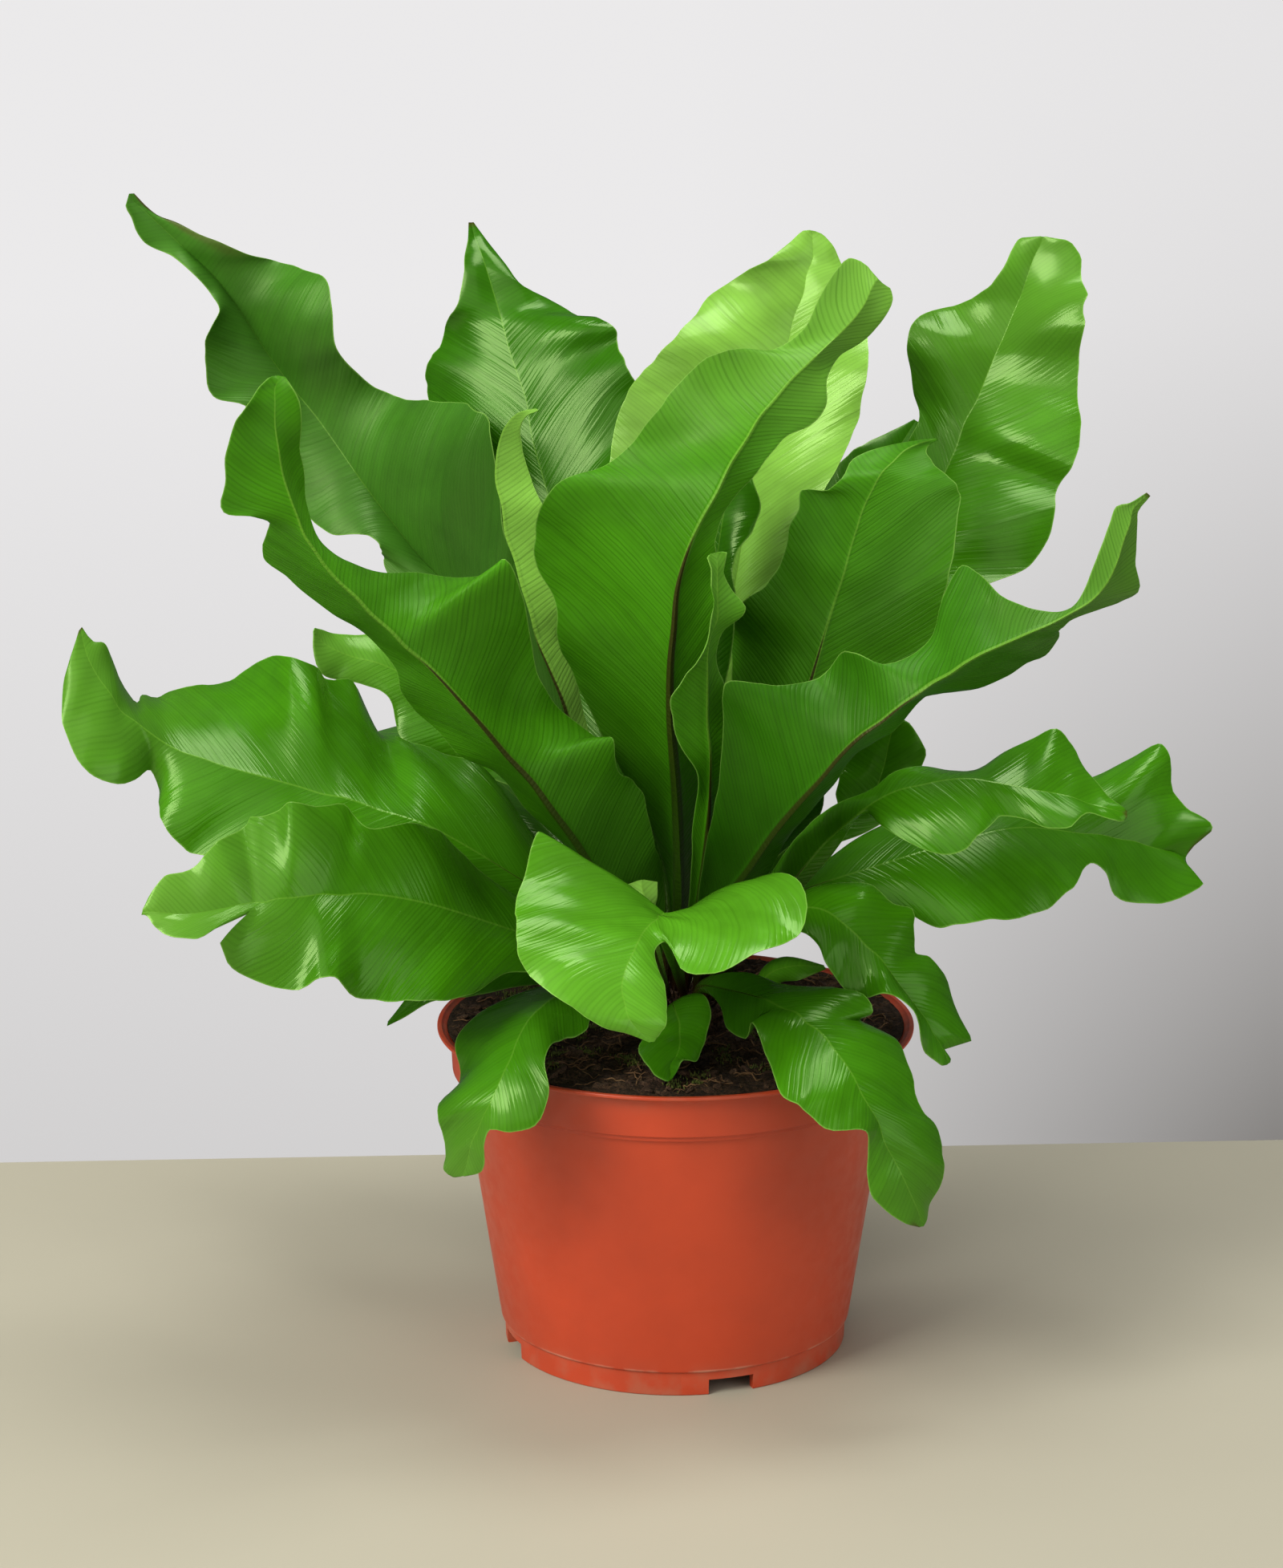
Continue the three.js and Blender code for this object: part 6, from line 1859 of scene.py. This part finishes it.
class FernSoilSettings(bpy.types.PropertyGroup):
    """Look of the soil and of what lies on it."""
    dark: colour_prop("Damp soil", "Colour of the damp soil", (0.016, 0.009, 0.004))
    pale: colour_prop("Dry soil", "Colour of the drier crumbs", (0.11, 0.058, 0.026))
    bark_dark: colour_prop("Dark bark", "Darker colour of the bark chips", (0.03, 0.015, 0.008))
    bark_pale: colour_prop("Pale bark", "Paler colour of the bark chips", (0.16, 0.09, 0.045))
    fibre_dark: colour_prop("Dark fibre", "Darker colour of the fibres", (0.12, 0.06, 0.025))
    fibre_pale: colour_prop("Pale fibre", "Paler colour of the fibres", (0.25, 0.145, 0.06))
    moss_dark: colour_prop("Dark moss", "Darker green of the moss", (0.05, 0.07, 0.012))
    moss_pale: colour_prop("Pale moss", "Paler green of the moss", (0.2, 0.22, 0.04))
    chips: count_prop("Chips", "Number of bark chips", 620)
    fibres: count_prop("Fibres", "Number of fibres", 320)
    moss_patches: count_prop("Moss patches", "Number of moss cushions", 38)
    seed: count_prop("Seed", "Start of the random draw", 11)


class FernCrownSettings(bpy.types.PropertyGroup):
    """Look of the crown."""
    crown_dark: colour_prop("Dark", "Darker brown of the crown", (0.012, 0.006, 0.003))
    crown_pale: colour_prop("Pale", "Paler brown of the crown", (0.13, 0.07, 0.03))
    scales: count_prop("Scales", "Number of hairy scales on the crown", 520)
    seed: count_prop("Seed", "Start of the random draw", 5)


class FernLeafSettings(bpy.types.PropertyGroup):
    """Look of the leaves."""
    dark_green: colour_prop("Dark green", "Upper face of an old leaf", (0.038, 0.185, 0.0035))
    mid_green: colour_prop("Mid green", "Upper face of a grown leaf", (0.06, 0.265, 0.004))
    light_green: colour_prop("Light green", "Upper face of a young leaf", (0.1, 0.36, 0.012))
    pale_green: colour_prop("Pale green", "Upper face of a leaf that has just opened", (0.235, 0.52, 0.06))
    dull_green: colour_prop("Dull green", "Upper face of a leaf that has lost its wax", (0.052, 0.2, 0.012))
    sheen_colour: colour_prop("Sheen", "Tint of the light that the wax throws back", (0.72, 1.0, 0.42))
    # the tip's paler green, partly its own colour and on some leaves a painted highlight
    young_and_highlit_tip_colour: colour_prop("Tip", "Paler green of the leaf's newest part, its tip", (0.19, 0.43, 0.05))
    # colour of the painted highlight along the margin
    margin_highlight_colour: colour_prop("Margin", "Thin pale line along the margin", (0.3, 0.56, 0.1))
    rib_colour: colour_prop("Midrib", "Green of the midrib", (0.2, 0.42, 0.04))
    stalk_colour: colour_prop("Stalk", "Brown of the stalk", (0.028, 0.009, 0.004))
    dry_colour: colour_prop("Dry tip", "Colour of a dried tip", (0.06, 0.028, 0.009))
    glow_colour: colour_prop("Glow", "Tint of the light that comes through", (1.0, 0.95, 0.4))
    see_through: share_prop("Light through", "Share of light that comes through the blade", 0.16)
    wax: share_prop("Wax", "How strongly the leaf's wax throws light back", 0.4)
    roughness: share_prop("Roughness", "How dull the upper face's wax is", 0.2)
    under_roughness: share_prop("Roughness below", "How dull the under face is", 0.42)
    vein_pitch: size_prop("Vein pitch", "Distance between neighbouring veins", 0.0017)
    vein_depth: size_prop("Vein depth", "Height of the veins", 0.00004)


class FernStageSettings(bpy.types.PropertyGroup):
    """Table, light and camera."""
    camera_place: FloatVectorProperty(name="Camera", description="Place of the camera", size=3,
                                      default=(-0.011, -1.44, 0.575), subtype="TRANSLATION")
    camera_pitch: angle_prop("Pitch", "How far the camera looks down", 15.1)
    lens: FloatProperty(name="Lens", description="Focal length in millimetres", default=107.36)
    table_width: size_prop("Table width", "Width of the table top", 2.6)
    table_front: size_prop("Table front", "Table in front of the pot's axis", 1.0)
    table_back: size_prop("Table back", "Table behind the pot's axis", 0.176)
    table_turn: angle_prop("Table turn", "Turn of the table's back edge from the picture's width", 3.0)
    table_colour: colour_prop("Table", "Colour of the table", (0.39, 0.365, 0.275))
    wall_bright: colour_prop("Bright wall", "Wall on the lit side", (0.83, 0.82, 0.825))
    # colour of the painted shadow low down and to the right on the wall
    wall_shaded: colour_prop("Shaded wall", "Wall on the far side", (0.19, 0.18, 0.17))
    air_strength: share_prop("Air", "Strength of the light all round", 0.44)
    mirrored_strength: share_prop("Mirrored air", "Strength of the light all round in shiny faces", 0.12)
    key_power: power_prop("Key", "Power of the main lamp", 34.0)
    soft_power: power_prop("Soft", "Power of the wide lamp beside the main one", 22.0)
    top_power: power_prop("Top", "Power of the lamp above", 16.0)
    fill_power: power_prop("Fill", "Power of the lamp on the right", 8.0)


SETTINGS = {
    "fern_stage": FernStageSettings,
    "fern_pot": FernPotSettings,
    "fern_soil": FernSoilSettings,
    "fern_crown": FernCrownSettings,
    "fern_leaf": FernLeafSettings,
}


class FERN_OT_stage(bpy.types.Operator):
    """Add the table, the light and the camera"""
    bl_idname = "fern.add_stage"
    bl_label = "Stage"

    def execute(self, context):
        make_stage(context.scene.fern_stage)
        return {"FINISHED"}


class FERN_OT_pot(bpy.types.Operator):
    """Add the nursery pot"""
    bl_idname = "fern.add_pot"
    bl_label = "Pot"

    def execute(self, context):
        make_pot(context.scene.fern_pot)
        return {"FINISHED"}


class FERN_OT_soil(bpy.types.Operator):
    """Add the soil that fills the pot"""
    bl_idname = "fern.add_soil"
    bl_label = "Soil"

    def execute(self, context):
        make_soil(context.scene.fern_soil)
        return {"FINISHED"}


class FERN_OT_litter(bpy.types.Operator):
    """Add bark chips, fibres and moss on the soil"""
    bl_idname = "fern.add_litter"
    bl_label = "Litter"

    def execute(self, context):
        for make in (make_chips, make_fibres, make_moss):
            make(context.scene.fern_soil)
        return {"FINISHED"}


class FERN_OT_crown(bpy.types.Operator):
    """Add the scaly crown"""
    bl_idname = "fern.add_crown"
    bl_label = "Crown"

    def execute(self, context):
        make_crown(context.scene.fern_crown)
        return {"FINISHED"}


class FERN_OT_fronds(bpy.types.Operator):
    """Add every frond"""
    bl_idname = "fern.add_fronds"
    bl_label = "Fronds"

    def execute(self, context):
        make_fronds(context.scene.fern_leaf)
        return {"FINISHED"}


OPERATORS = (FERN_OT_stage, FERN_OT_pot, FERN_OT_soil, FERN_OT_litter, FERN_OT_crown, FERN_OT_fronds)


class FERN_PT_panel(bpy.types.Panel):
    """Lists the fern's pieces in the 3D view's sidebar"""
    bl_label = "Potted Fern"
    bl_idname = "FERN_PT_panel"
    bl_space_type = "VIEW_3D"
    bl_region_type = "UI"
    bl_category = "Fern"

    def draw(self, context):
        for operator in OPERATORS:
            self.layout.operator(operator.bl_idname)


def register():
    for group in SETTINGS.values():
        bpy.utils.register_class(group)
    for cls in (*OPERATORS, FERN_PT_panel):
        bpy.utils.register_class(cls)
    for name, group in SETTINGS.items():
        setattr(bpy.types.Scene, name, PointerProperty(type=group))


def unregister():
    for name in SETTINGS:
        delattr(bpy.types.Scene, name)
    for cls in (FERN_PT_panel, *reversed(OPERATORS)):
        bpy.utils.unregister_class(cls)
    for group in reversed(SETTINGS.values()):
        bpy.utils.unregister_class(group)


def main():
    register()
    for operator in OPERATORS:
        group, name = operator.bl_idname.split(".")
        getattr(getattr(bpy.ops, group), name)()


if __name__ == "__main__":
    main()
